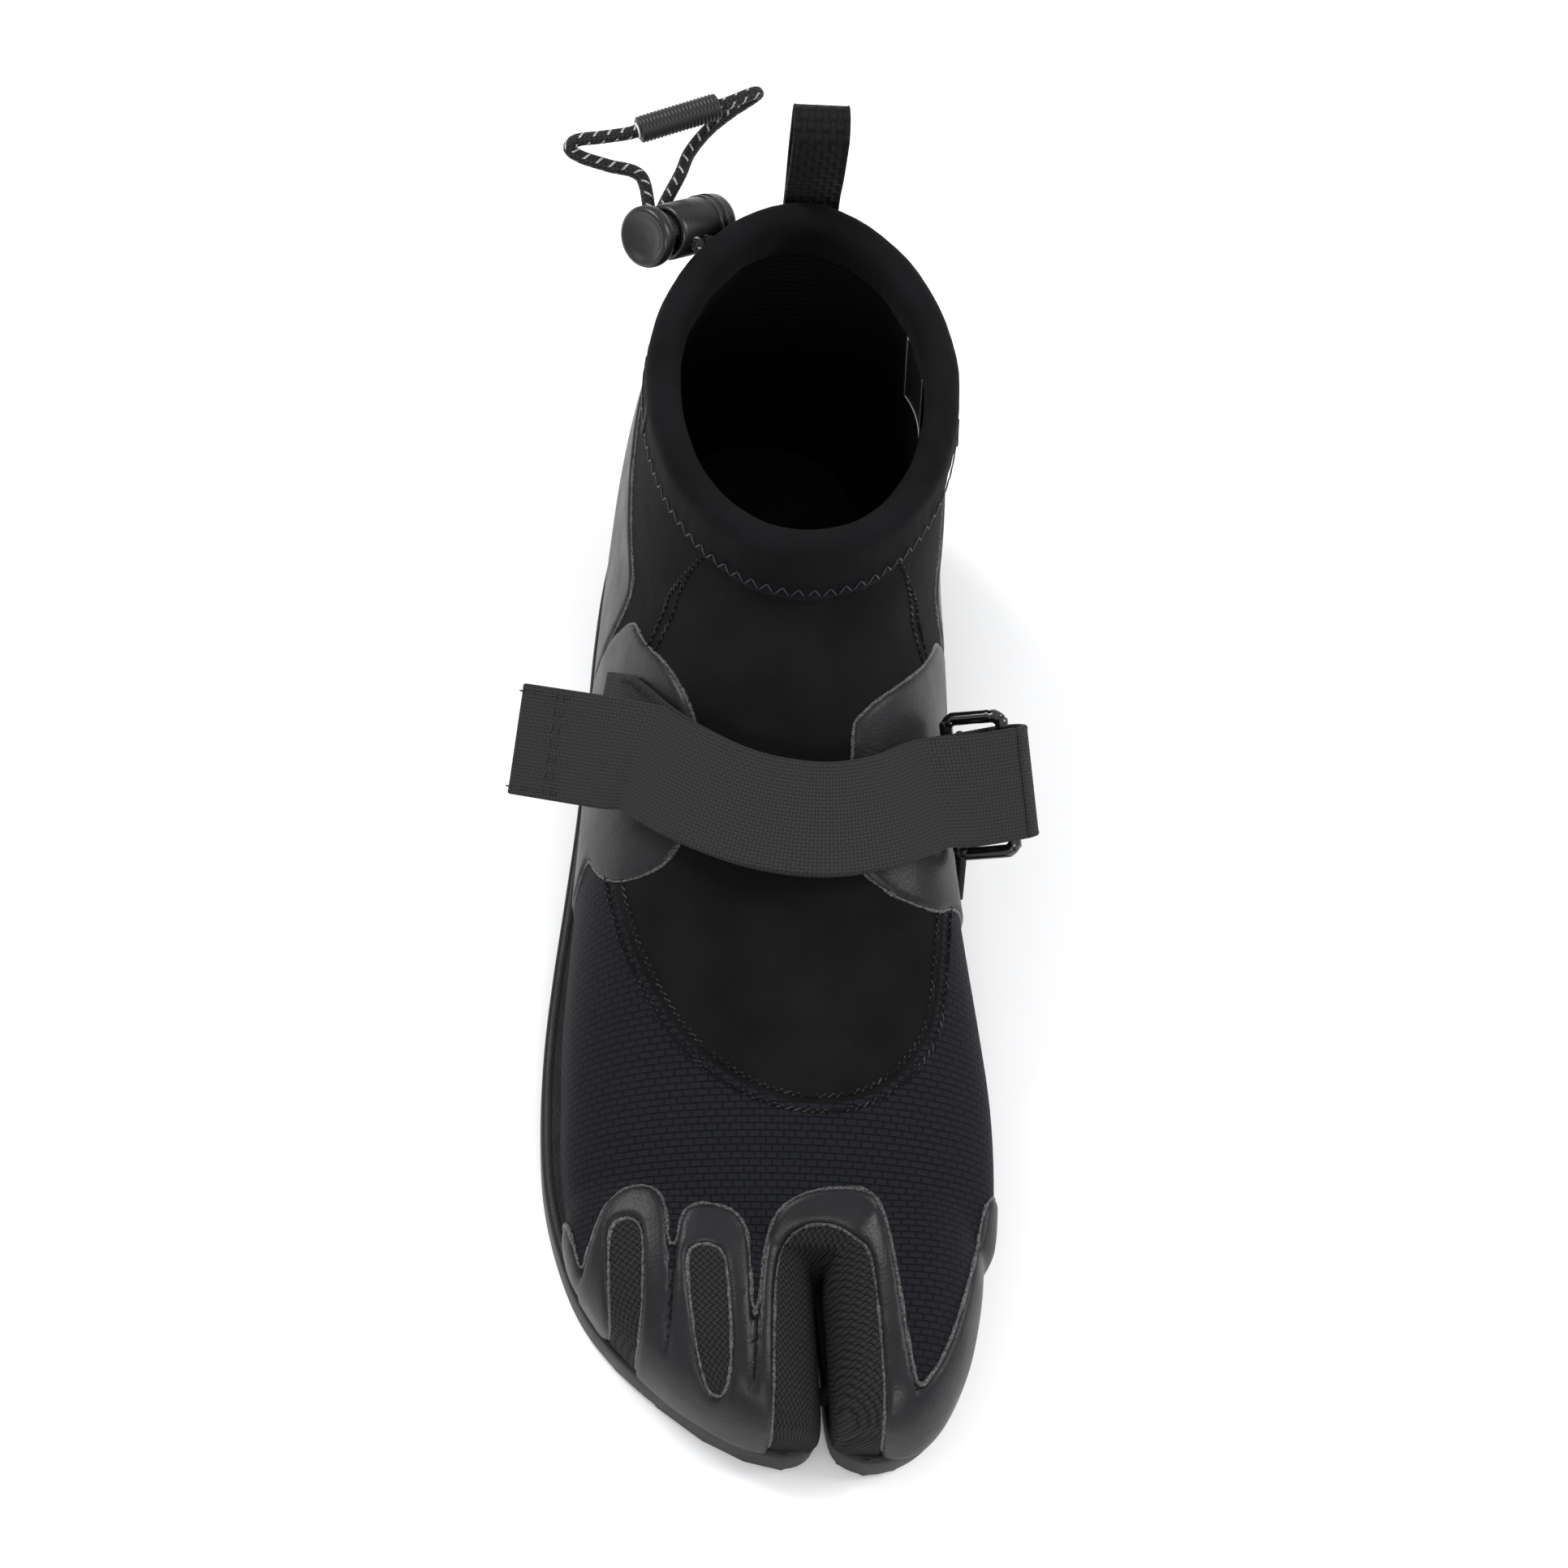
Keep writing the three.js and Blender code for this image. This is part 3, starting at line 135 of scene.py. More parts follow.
# ---- Materials ---------------------------------------------------------------------------------------
class Nodes:
    """Builds one procedural material. Every number is set on the socket that uses it."""

    def __init__(self, name, color, roughness, specular=0.5, sheen=0.0, coat=0.0, metallic=0.0):
        self.material = bpy.data.materials.new(name)
        self.material.use_nodes = True
        self.tree = self.material.node_tree
        self.shader = self.tree.nodes["Principled BSDF"]
        self.shader.inputs["Base Color"].default_value = (*color, 1)
        self.shader.inputs["Roughness"].default_value = roughness
        self.shader.inputs["Specular IOR Level"].default_value = specular
        self.shader.inputs["Sheen Weight"].default_value = sheen
        self.shader.inputs["Sheen Roughness"].default_value = 0.45
        self.shader.inputs["Coat Weight"].default_value = coat
        self.shader.inputs["Metallic"].default_value = metallic

    def node(self, kind, **inputs):
        made = self.tree.nodes.new(kind)
        for name, value in inputs.items():
            self.feed(made.inputs[name.replace("_", " ")], value)
        return made

    def feed(self, socket, value):
        if isinstance(value, bpy.types.NodeSocket):
            self.tree.links.new(value, socket)
        else:
            socket.default_value = value

    def math(self, operation, a, b=0.0):
        made = self.tree.nodes.new("ShaderNodeMath")
        made.operation = operation
        self.feed(made.inputs[0], a)
        self.feed(made.inputs[1], b)
        return made.outputs[0]

    def object_place(self):
        return self.node("ShaderNodeTexCoord").outputs["Object"]

    def flat_place(self):
        """The piece's own surface coordinates: across and along, in millimetres."""
        split = self.node("ShaderNodeSeparateXYZ", Vector=self.node("ShaderNodeTexCoord").outputs["UV"])
        return split.outputs["X"], split.outputs["Y"]

    def noise(self, scale, detail=2.0, place=None, roughness=0.5):
        texture = self.node("ShaderNodeTexNoise", Scale=scale, Detail=detail, Roughness=roughness)
        self.tree.links.new(place or self.object_place(), texture.inputs["Vector"])
        return texture.outputs["Fac"]

    def ramp(self, value, low, high, low_color, high_color):
        made = self.tree.nodes.new("ShaderNodeValToRGB")
        made.color_ramp.elements[0].position = low
        made.color_ramp.elements[1].position = high
        made.color_ramp.elements[0].color = (*low_color, 1)
        made.color_ramp.elements[1].color = (*high_color, 1)
        self.tree.links.new(value, made.inputs["Fac"])
        return made.outputs["Color"]

    def color(self, socket):
        self.tree.links.new(socket, self.shader.inputs["Base Color"])

    def bump(self, height, distance, strength=1.0):
        made = self.node("ShaderNodeBump", Height=height, Distance=distance, Strength=strength)
        previous = self.shader.inputs["Normal"].links
        if previous:
            self.tree.links.new(previous[0].from_socket, made.inputs["Normal"])
        self.tree.links.new(made.outputs["Normal"], self.shader.inputs["Normal"])

    def weave(self, pitch_across, pitch_along, turned=False):
        """Height of a plain weave, 0 to 1: threads pass over and under each other in a chequer."""
        across, along = self.flat_place()
        if turned:
            across, along = self.math("ADD", across, along), self.math("SUBTRACT", across, along)
        a = self.math("SINE", self.math("MULTIPLY", across, math.pi / pitch_across))
        b = self.math("SINE", self.math("MULTIPLY", along, math.pi / pitch_along))
        over = self.math("GREATER_THAN", self.math("MULTIPLY", a, b), 0.0)
        under = self.math("SUBTRACT", 1.0, over)
        lifted = self.math("MULTIPLY", over, self.math("ABSOLUTE", a))
        return self.math("ADD", lifted, self.math("MULTIPLY", under, self.math("ABSOLUTE", b)))


def plain(name, color, roughness, **more):
    return Nodes(name, color, roughness, **more).material


def jersey(name, color, grain=2600):
    """Fine knitted cloth on neoprene: tiny grain, faint cloudy colour."""
    m = Nodes(name, color, 0.9, specular=0.08, sheen=0.01)
    cloudy = m.noise(60, 3)
    m.color(m.ramp(cloudy, 0.35, 0.7, [c * 0.75 for c in color], [c * 1.35 for c in color]))
    m.bump(m.noise(grain, 1), 0.0003, 0.55)
    m.bump(m.noise(140, 2), 0.0012, 0.25)
    return m.material


def mesh_cloth(name):
    """Forefoot cloth: small raised bricks in offset rows."""
    m = Nodes(name, (0.004, 0.0045, 0.007), 0.7, specular=0.12)
    bricks = m.node(
        "ShaderNodeTexBrick", Scale=1.0, **{"Mortar_Size": 0.22, "Mortar_Smooth": 0.8, "Brick_Width": 2.4,
        "Row_Height": 1.5, "Color1": (1, 1, 1, 1), "Color2": (0.85, 0.85, 0.85, 1), "Mortar": (0, 0, 0, 1)})
    m.tree.links.new(m.node("ShaderNodeTexCoord").outputs["UV"], bricks.inputs["Vector"])
    height = m.math("SUBTRACT", 1.0, bricks.outputs["Fac"])
    # painted shade: the colour follows the bricks' height, darker in the sunken gaps and lighter on the raised
    # bricks
    m.color(m.ramp(height, 0.1, 0.9, (0.0015, 0.0018, 0.003), (0.0055, 0.006, 0.009)))
    m.bump(height, 0.0005, 0.8)
    m.bump(m.noise(3000, 1), 0.0002, 0.4)
    return m.material


def window_cloth(name):
    """Dark grey cloth with a fine slanting weave."""
    m = Nodes(name, (0.010, 0.010, 0.011), 0.8, specular=0.12)
    height = m.weave(1.5, 1.5, turned=True)
    # painted shade and light: the colour follows the weave's height, darker where the threads dip and lighter on
    # the raised threads
    m.color(m.ramp(height, 0.2, 0.9, (0.005, 0.005, 0.006), (0.020, 0.020, 0.021)))
    m.bump(height, 0.0004, 0.8)
    return m.material


def webbing(name, color, pitch_across, pitch_along, depth=0.0004):
    m = Nodes(name, color, 0.8, specular=0.12, sheen=0.01)
    height = m.weave(pitch_across, pitch_along)
    # painted shade and light: the colour follows the weave's height, darker where the threads dip and lighter on
    # the raised threads
    m.color(m.ramp(height, 0.1, 0.9, [c * 0.6 for c in color], [c * 1.15 for c in color]))
    m.bump(height, depth, 0.9)
    m.bump(m.noise(4000, 1), 0.0001, 0.4)
    return m.material


def moulded_rubber(name, color, roughness=0.42):
    """Moulded rubber skin: half gloss with fine stipple and a little wear in the gloss."""
    m = Nodes(name, color, roughness, specular=0.22)
    cloudy = m.noise(45, 3)
    m.color(m.ramp(cloudy, 0.3, 0.75, [c * 0.8 for c in color], [c * 1.3 for c in color]))
    worn = m.node("ShaderNodeMapRange", Value=m.noise(90, 4))
    worn.inputs["To Min"].default_value = roughness - 0.1
    worn.inputs["To Max"].default_value = roughness + 0.18
    m.tree.links.new(worn.outputs["Result"], m.shader.inputs["Roughness"])
    m.bump(m.noise(1500, 2), 0.00025, 0.35)
    m.bump(m.noise(70, 2), 0.002, 0.25)
    return m.material


def glue(name):
    """Squeezed-out cement along the overlays' edges: rough and grey, with bright speckles painted into its colour
    as glints of shine.
    """
    m = Nodes(name, (0.03, 0.03, 0.031), 0.35, specular=0.6)
    speckle = m.noise(1400, 3, roughness=0.7)
    # painted highlight: the bright grey speckles in the colour stand in for glints on the cement
    m.color(m.ramp(speckle, 0.42, 0.72, (0.006, 0.006, 0.007), (0.13, 0.13, 0.13)))
    m.bump(speckle, 0.0008, 0.9)
    return m.material


def braid(name):
    """Black braided cord cover with white tracer threads."""
    m = Nodes(name, (0.006, 0.006, 0.006), 0.6, specular=0.35)
    across, along = m.flat_place()
    m.bump(m.weave(1.05, 1.05, turned=True), 0.0004, 0.9)
    slanted = m.math("ADD", along, m.math("MULTIPLY", across, 0.7))
    tracer = m.math("GREATER_THAN", m.math("SINE", m.math("MULTIPLY", slanted, 2 * math.pi / 3.1)), 0.86)
    broken = m.math("GREATER_THAN", m.math("SINE", m.math("MULTIPLY", across, 2 * math.pi / 3.14)), -0.2)
    m.color(m.ramp(m.math("MULTIPLY", tracer, broken), 0.4, 0.6, (0.005, 0.005, 0.0055), (0.45, 0.45, 0.44)))
    return m.material


def ribbed_lining(name):
    m = Nodes(name, (0.004, 0.004, 0.0045), 0.95, specular=0.1)
    split = m.node("ShaderNodeSeparateXYZ", Vector=m.object_place())
    ribs = m.math("SINE", m.math("MULTIPLY", split.outputs["Z"], 2 * math.pi / 0.0022))
    m.bump(ribs, 0.0004, 0.6)
    m.bump(m.noise(2200, 1), 0.0003, 0.5)
    return m.material


# ---- Mesh helpers ------------------------------------------------------------------------------------
def unit(a):
    a = np.asarray(a, float)
    return a / np.maximum(np.linalg.norm(a, axis=-1, keepdims=True), 1e-12)


def make(name, points, faces, material, body="boot", stands_for=(), slot=None, uv=None):
    """A mesh object from points in millimetres. uv holds one pair per point."""
    mesh = bpy.data.meshes.new(name)
    mesh.from_pydata((np.asarray(points, float) * MM).tolist(), [], [list(map(int, f)) for f in faces])
    if uv is not None:
        layer = mesh.uv_layers.new(name="UVMap")
        order = np.zeros(len(mesh.loops), int)
        mesh.loops.foreach_get("vertex_index", order)
        layer.data.foreach_set("uv", np.asarray(uv, np.float32)[order].ravel())
    mesh.validate()
    mesh.shade_smooth()
    mesh.materials.append(material)
    made = bpy.data.objects.new(name, mesh)
    bpy.context.scene.collection.objects.link(made)
    if body:
        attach(made, body)
    if stands_for:
        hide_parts(*stands_for)
    return made


def grid_faces(rows, columns, closed=False):
    """Quads of a grid of points, row after row. closed joins each row's end to its start."""
    r = np.arange(rows - 1)[:, None]
    c = np.arange(columns if closed else columns - 1)[None, :]
    n = (c + 1) % columns
    here, below = r * columns, (r + 1) * columns
    return np.stack([here + c, here + n, below + n, below + c], -1).reshape(-1, 4)


def along_curve(points, spacing=None, count=None, closed=False):
    """Catmull-Rom curve through the points, in even steps."""
    p = np.asarray(points, float)
    p = np.vstack([p[-1], p, p[0], p[1]]) if closed else np.vstack([2 * p[0] - p[1], p, 2 * p[-1] - p[-2]])
    f = np.linspace(0, 1, 13)[:-1, None]
    fine = []
    for a, b, c, d in zip(p, p[1:], p[2:], p[3:]):
        fine.append(b + 0.5 * f * (c - a + f * (2 * a - 5 * b + 4 * c - d + f * (3 * (b - c) + d - a))))
    fine = np.vstack([*fine, p[-2][None]])
    walked = np.r_[0, np.cumsum(np.linalg.norm(np.diff(fine, axis=0), axis=1))]
    count = count or max(4, int(round(walked[-1] / spacing)) + 1)
    at = np.linspace(0, walked[-1], count)
    even = np.stack([np.interp(at, walked, fine[:, k]) for k in range(fine.shape[1])], 1)
    return even[:-1] if closed else even


def turning_frames(path, closed=False):
    """For each point of a path, its direction and two crossing directions that turn as little as they can."""
    if closed:
        along = unit(np.roll(path, -1, 0) - np.roll(path, 1, 0))
    else:
        along = unit(np.gradient(path, axis=0))
    start = np.cross(along[0], (0, 0, 1))
    if np.linalg.norm(start) < 0.1:
        start = np.cross(along[0], (1, 0, 0))
    first = [unit(start)]
    for k in range(1, len(path)):
        kept = first[-1] - along[k] * (first[-1] @ along[k])
        first.append(unit(kept))
    first = np.array(first)
    return along, first, np.cross(along, first)


def tube_mesh(path, radius, sides=14, closed=False, caps=True):
    """Points, faces and surface coordinates of a round tube. radius may be one number or one per point."""
    path = np.asarray(path, float)
    radius = np.broadcast_to(radius, len(path))
    _, a, b = turning_frames(path, closed)
    turn = np.linspace(0, 2 * math.pi, sides + 1)
    ring = np.cos(turn)[None, :, None] * a[:, None] + np.sin(turn)[None, :, None] * b[:, None]
    points = path[:, None] + ring * radius[:, None, None]
    walked = np.r_[0, np.cumsum(np.linalg.norm(np.diff(path, axis=0), axis=1))]
    uv = np.stack(np.broadcast_arrays(turn[None] * radius.mean(), walked[:, None]), -1)
    faces = grid_faces(len(path), sides + 1)
    points, uv = points.reshape(-1, 3), uv.reshape(-1, 2)
    if closed:
        last = (len(path) - 1) * (sides + 1)
        k = np.arange(sides)
        faces = np.vstack([faces, np.stack([last + k, last + k + 1, k + 1, k], 1)])
    faces = faces.tolist()
    if caps and not closed:
        faces.append(list(range(sides - 1, -1, -1)))
        faces.append([(len(path) - 1) * (sides + 1) + k for k in range(sides)])
    return points, faces, uv


def lathe(profile, centre, axis, sides=48):
    """Points and faces turned about an axis. profile is [radius, distance along the axis]."""
    axis = unit(axis)
    a = unit(np.cross(axis, (0.3, 0.2, 1)))
    b = np.cross(axis, a)
    turn = np.linspace(0, 2 * math.pi, sides, endpoint=False)
    ring = np.cos(turn)[:, None] * a + np.sin(turn)[:, None] * b
    profile = np.asarray(profile, float)
    points = centre + profile[:, 1][:, None, None] * axis + profile[:, 0][:, None, None] * ring[None]
    return points.reshape(-1, 3), grid_faces(len(profile), sides, closed=True)


def turned(name, profile, centre, axis, material, body, slot="black_plastic", sides=48, **words):
    points, faces = lathe(profile, centre, axis, sides)
    return make(name, points, faces[:, ::-1], material, body, slot=slot, **words)


def node_points(node):
    mesh = frame["nodes"][node].data
    co = np.zeros(len(mesh.vertices) * 3)
    mesh.vertices.foreach_get("co", co)
    return co.reshape(-1, 3) / MM


def principal(node):
    """Middle, three axes (longest first) and sizes of a CAD node."""
    p = node_points(node)
    _, _, axes = np.linalg.svd(p - p.mean(0), full_matrices=False)
    spread = (p - p.mean(0)) @ axes.T
    middle = p.mean(0) + ((spread.max(0) + spread.min(0)) / 2) @ axes
    return middle, axes, spread.max(0) - spread.min(0)


def keep_shown(node, material):
    """A CAD node that has the right shape stays, with a better material."""
    materials = frame["nodes"][node].data.materials
    materials.clear()
    materials.append(material)


def joint(name):
    return next(j for j in frame["joints"] if j["name"] == name)


# ---- The foot's shape --------------------------------------------------------------------------------
# Each row of FOOT is y, tilt from upright, near and far distance from the line at rim height, half width,
# x of the middle at those two ends, and the share of the depth at which it is widest.
FOOT = np.array([
    (-92, 0, 79, 112, 42.5, 2.5, 0.4, 0.6),
    (-86, 0, 74.5, 115, 46.0, 3, -1.2, 0.58),
    (-70, 0, 69.3, 116, 47.5, 3, -3.2, 0.56),
    (-54, 0, 64.5, 116, 47.2, 3, -4.4, 0.54),
    (-38, 0, 58.5, 116, 46.1, 2.2, -5.4, 0.5),
    (-22, 0, 52.0, 116, 44.4, 1.4, -5.8, 0.46),
    (-5, 0, 44.0, 116, 42.4, 1, -6.4, 0.42),
    (-5, 15, 40.0, 120, 40.6, 0.6, -6.3, 0.42),
    (-5, 30, 37.0, 133, 39.6, 0.4, -5.8, 0.44),
    (-5, 41, 36.0, 151, 38.4, 0.2, -5.0, 0.46),
    (-5, 48, 36.3, 165, 37.2, 0.2, -4.6, 0.47),
    (-5, 53, 37.0, 169, 36.4, 0.2, -4.2, 0.47),
    (-5, 58, 38.0, 162, 36.0, 0.2, -3.6, 0.47),
    (-5, 65, 39.6, 154.5, 35.3, 0.3, -2.8, 0.48),
    (-5, 73, 41.3, 145.5, 34.4, 0.4, -1.6, 0.48),
    (-5, 81, 43.0, 137.5, 32.9, 0, -0.8, 0.5),
    (-5, 90, 44.0, 133.0, 32.0, -0.3, -0.3, 0.5),
    (-5, 99, 44.8, 135.0, 32.0, -0.3, -0.3, 0.5),
])


def toe(y, top, left, right):
    middle = (left + right) / 2
    return y, 0, LAST["height"] - top, 112, (right - left) / 2, middle, middle, 0.55


SMALL_TOES = np.array([
    toe(-131, 14, -3, 7), toe(-129, 21, -9, 9.6), toe(-122.5, 26.5, -20, 9.4), toe(-114, 29.5, -30, 8.8),
    toe(-105, 31.5, -38, 8.2), toe(-95, 32.8, -44, 7.6), toe(-85, 33, -46.4, 7), toe(-76, 32, -45.5, 6.5),
])
BIG_TOE = np.array([
    toe(-131.5, 14, 15.5, 27.5), toe(-129.5, 22, 12.8, 32), toe(-123.5, 27.5, 12, 37),
    toe(-114.5, 30.5, 11.4, 41), toe(-105, 32.5, 10.8, 43.2), toe(-95, 34, 10, 44.4), toe(-85, 34, 9.2, 44.2),
    toe(-76, 33, 8.6, 42.5),
])
INSTEP_ROUNDNESS, SOLE_ROUNDNESS, COLLAR_ROUNDNESS = 2.15, 2.5, 1.8


def row_at(table, t):
    """Catmull-Rom between the rows of a table."""
    i = np.clip(np.floor(t).astype(int), 0, len(table) - 2)
    f = (t - i)[..., None]
    a, b, c, d = (table[np.clip(i + k, 0, len(table) - 1)] for k in (-1, 0, 1, 2))
    return b + 0.5 * f * (c - a + f * (2 * a - 5 * b + 4 * c - d + f * (3 * (b - c) + d - a)))


def foot_point(table, t, v):
    """A point of the sock. v goes round from the instep (0) over the big toe's side to the sole (0.5)."""
    t, v = np.broadcast_arrays(np.asarray(t, float), np.asarray(v, float))
    y, tilt, near, far, half, x_near, x_far, belly = np.moveaxis(row_at(table, t), -1, 0)
    c, s = np.cos(v * 2 * math.pi), np.sin(v * 2 * math.pi)
    middle = far - belly * (far - near)
    sole_power = SOLE_ROUNDNESS + (COLLAR_ROUNDNESS - SOLE_ROUNDNESS) * (tilt / 90) ** 2
    power = 2 / np.where(c < 0, sole_power, INSTEP_ROUNDNESS)
    reach = np.where(c < 0, far - middle, middle - near)
    r = middle - np.sign(c) * np.abs(c) ** power * reach
    x = x_far + (x_near - x_far) * (far - r) / (far - near) + np.sign(s) * np.abs(s) ** power * half
    tilt = np.radians(tilt)
    above = np.maximum(0, LAST["height"] - LAST["sole_top"] - r * np.cos(tilt))
    return np.stack([x * GRADE[0], (y + r * np.sin(tilt)) * GRADE[1], SOLE_TOP + above * GRADE[2]], -1)


def foot_normal(table, t, v):
    along = foot_point(table, t + 0.05, v) - foot_point(table, t - 0.05, v)
    round_ = foot_point(table, t, v + 0.01) - foot_point(table, t, v - 0.01)
    return unit(np.cross(round_, along))


def at_level(v, z, offset=0.0):
    """The collar's surface at a height, moved straight outwards by offset."""
    v, z = np.broadcast_arrays(np.asarray(v, float), np.asarray(z, float))
    low, high = np.full(v.shape, 8.0), np.full(v.shape, len(FOOT) - 1.0)
    for _ in range(24):
        t = (low + high) / 2
        under = foot_point(FOOT, t, v)[..., 2] < z
        low, high = np.where(under, t, low), np.where(under, high, t)
    out = foot_normal(FOOT, low, v)
    out[..., 2] = 0
    return foot_point(FOOT, low, v) + unit(out) * np.asarray(offset)[..., None]


def closed_tube(table, steps, around):
    t = np.linspace(0, len(table) - 1, steps)
    points = foot_point(table, t[:, None], np.arange(around) / around).reshape(-1, 3)
    faces = grid_faces(steps, around, closed=True).tolist()
    faces.append([k for k in range(around - 1, -1, -1)])
    faces.append([(steps - 1) * around + k for k in range(around)])
    return points, faces


def foot_skin():
    """Points, normals and quads of the whole sock's smooth outside, with the toes merged in."""
    parts = [closed_tube(FOOT, 150, 160), closed_tube(SMALL_TOES, 60, 90), closed_tube(BIG_TOE, 60, 80)]
    points, faces, first = [], [], 0
    for p, f in parts:
        points.append(p)
        faces += [[first + k for k in face] for face in f]
        first += len(p)
    mesh = bpy.data.meshes.new("foot_skin")
    mesh.from_pydata((np.vstack(points) * MM).tolist(), [], faces)
    made = bpy.data.objects.new("foot_skin", mesh)
    bpy.context.scene.collection.objects.link(made)
    remesh = made.modifiers.new("remesh", "REMESH")
    remesh.mode = "VOXEL"
    remesh.voxel_size = 1.0 * MM
    soften = made.modifiers.new("soften", "SMOOTH")
    soften.factor, soften.iterations = 0.5, 8
    result = made.evaluated_get(bpy.context.evaluated_depsgraph_get()).to_mesh()
    co = np.zeros(len(result.vertices) * 3)
    normal = np.zeros(len(result.vertices) * 3)
    result.vertices.foreach_get("co", co)
    result.vertices.foreach_get("normal", normal)
    quads = np.array([p.vertices[:] for p in result.polygons if len(p.vertices) == 4])
    made.to_mesh_clear()
    bpy.data.objects.remove(made)
    return co.reshape(-1, 3) / MM, normal.reshape(-1, 3), quads


SKIN, SKIN_NORMAL, SKIN_QUADS = foot_skin()


# ---- Regions of the sock -----------------------------------------------------------------------------
# A region is a function that gives each point's distance from its edge, below zero inside.
def rounded(outline, sharp=()):
    """The outline as a smooth curve, with the corners at these places kept sharp."""
    p = [np.array(q, float) for q in outline]
    for _ in range(3):
        sharp_points = [outline[k] for k in sharp]
        cut = []
        for k, a in enumerate(p):
            b = p[(k + 1) % len(p)]
            a_sharp = any(np.allclose(a, s) for s in sharp_points)
            b_sharp = any(np.allclose(b, s) for s in sharp_points)
            cut.append(a if a_sharp else 0.75 * a + 0.25 * b)
            if not b_sharp:
                cut.append(0.25 * a + 0.75 * b)
        p = cut
    return np.array(p)


def distance_to(outline, p):
    """Signed distance of 2D points from a closed outline, below zero inside."""
    best = np.full(len(p), 1e18)
    inside = np.zeros(len(p), bool)
    for a, b in zip(outline, np.roll(outline, -1, 0)):
        run = b - a
        share = np.clip(((p - a) @ run) / max(run @ run, 1e-9), 0, 1)
        best = np.minimum(best, ((p - a - share[:, None] * run) ** 2).sum(1))
        crosses = (a[1] > p[:, 1]) != (b[1] > p[:, 1])
        if crosses.any():
            x = a[0] + (p[:, 1] - a[1]) * run[0] / (run[1] if run[1] else 1e-9)
            inside ^= crosses & (p[:, 0] < x)
    return np.where(inside, -1, 1) * np.sqrt(best)


def from_above(outline, sharp=()):
    smooth = rounded(outline, sharp) * GRADE[:2]
    return lambda p: distance_to(smooth, p[:, :2])


def from_side(outline, sharp=()):
    smooth = rounded(outline, sharp)
    smooth = np.stack([smooth[:, 0] * GRADE[1], SOLE_TOP + (smooth[:, 1] - LAST["sole_top"]) * GRADE[2]], 1)
    return lambda p: distance_to(smooth, p[:, 1:3])


def beyond(axis, value, sign=1):
    return lambda p: sign * (value - p[:, axis])


def both(*regions):
    return lambda p: np.max([r(p) for r in regions], axis=0)


def outside(region):
    return lambda p: -region(p)


def grown(region, distance):
    return lambda p: region(p) - distance


SUNK = 0.25  # how far an overlay's edge dips under the skin


def cut_skin(region):
    """The part of the skin inside a region, with its edge moved exactly onto the region's edge."""
    distance = region(SKIN)
    keep = (distance[SKIN_QUADS] < 0).any(1)
    used, faces = np.unique(SKIN_QUADS[keep], return_inverse=True)
    points, normals = SKIN[used].copy(), SKIN_NORMAL[used]
    over = distance[used] > 0
    for _ in range(3):
        p, n = points[over], normals[over]
        here = region(p)
        step = 0.05
        slope = np.stack([(region(p + step * axis) - here) / step for axis in np.eye(3)], 1)
        slope -= (slope * n).sum(1, keepdims=True) * n
        size = (slope ** 2).sum(1, keepdims=True)
        move = -here[:, None] * slope / np.maximum(size, 0.05)
        length = np.linalg.norm(move, axis=1, keepdims=True)
        points[over] = p + move * np.minimum(1, 1.6 / np.maximum(length, 1e-9))
    depth = -np.minimum(region(points), 0)
    depth[over] = 0
    return points, normals, faces.reshape(-1, 4), depth


def wrap(points):
    """Surface coordinates round the foot: arc and length, in millimetres."""
    arc = 42 * np.arctan2(points[:, 0], points[:, 2] + 6)
    return np.stack([arc, points[:, 1]], 1)


def skin_piece(name, region, material, height=0.0, edge=0.9, **words):
    """A panel or an overlay on the sock. Its edge rounds down to the skin over a short way."""
    points, normals, faces, depth = cut_skin(region)
    flat = wrap(points)
    if height:
        fall = 1 - np.clip(depth / edge, 0, 1)
        rise = np.sqrt(1 - fall ** 2) * (height + SUNK) - SUNK
        points = points + normals * rise[:, None]
    return make(name, points, faces, material, uv=flat, **words)


def edge_lines(region, shortest=12):
    """The region's edge on the skin, as lines of points with the skin's normals."""
    points, normals, faces, _ = cut_skin(region)
    sides = np.sort(np.vstack([faces[:, [k, (k + 1) % 4]] for k in range(4)]), 1)
    sides, count = np.unique(sides, axis=0, return_counts=True)
    ways = {}
    for a, b in sides[count == 1]:
        ways.setdefault(a, []).append(b)
        ways.setdefault(b, []).append(a)
    lines = []
    while ways:
        start = next((k for k in ways if len(ways[k]) == 1), next(iter(ways)))
        line = [start]
        while ways.get(line[-1]):
            here, there = line[-1], ways[line[-1]][0]
            for a, b in ((here, there), (there, here)):
                ways[a].remove(b)
                if not ways[a]:
                    del ways[a]
            line.append(there)
        where = points[line]
        if np.linalg.norm(np.diff(where, axis=0), axis=1).sum() > shortest:
            lines.append((where, normals[line]))
    return lines


def evened_line(line, spacing):
    """A line of the skin's edge, smoothed and resampled, with normals. Returns points and normals."""
    both_values = np.hstack(line)
    for _ in range(4):
        both_values[1:-1] = (both_values[:-2] + 2 * both_values[1:-1] + both_values[2:]) / 4
    walked = np.r_[0, np.cumsum(np.linalg.norm(np.diff(both_values[:, :3], axis=0), axis=1))]
    at = np.linspace(0, walked[-1], max(3, int(walked[-1] / spacing)))
    even = np.stack([np.interp(at, walked, both_values[:, k]) for k in range(6)], 1)
    return even[:, :3], unit(even[:, 3:])


# ---- Stitches and glue beads -------------------------------------------------------------------------
def grain_shape(rings=5, sides=8):
    """A unit sphere's points and faces, for stitches."""
    polar = np.linspace(0, math.pi, rings + 2)[1:-1]
    turn = np.linspace(0, 2 * math.pi, sides, endpoint=False)
    points = [(math.cos(a), math.sin(a) * math.cos(b), math.sin(a) * math.sin(b)) for a in polar for b in turn]
    faces = grid_faces(rings, sides, closed=True).tolist()
    faces.append(list(range(sides - 1, -1, -1)))
    faces.append([(rings - 1) * sides + k for k in range(sides)])
    return np.array(points), faces


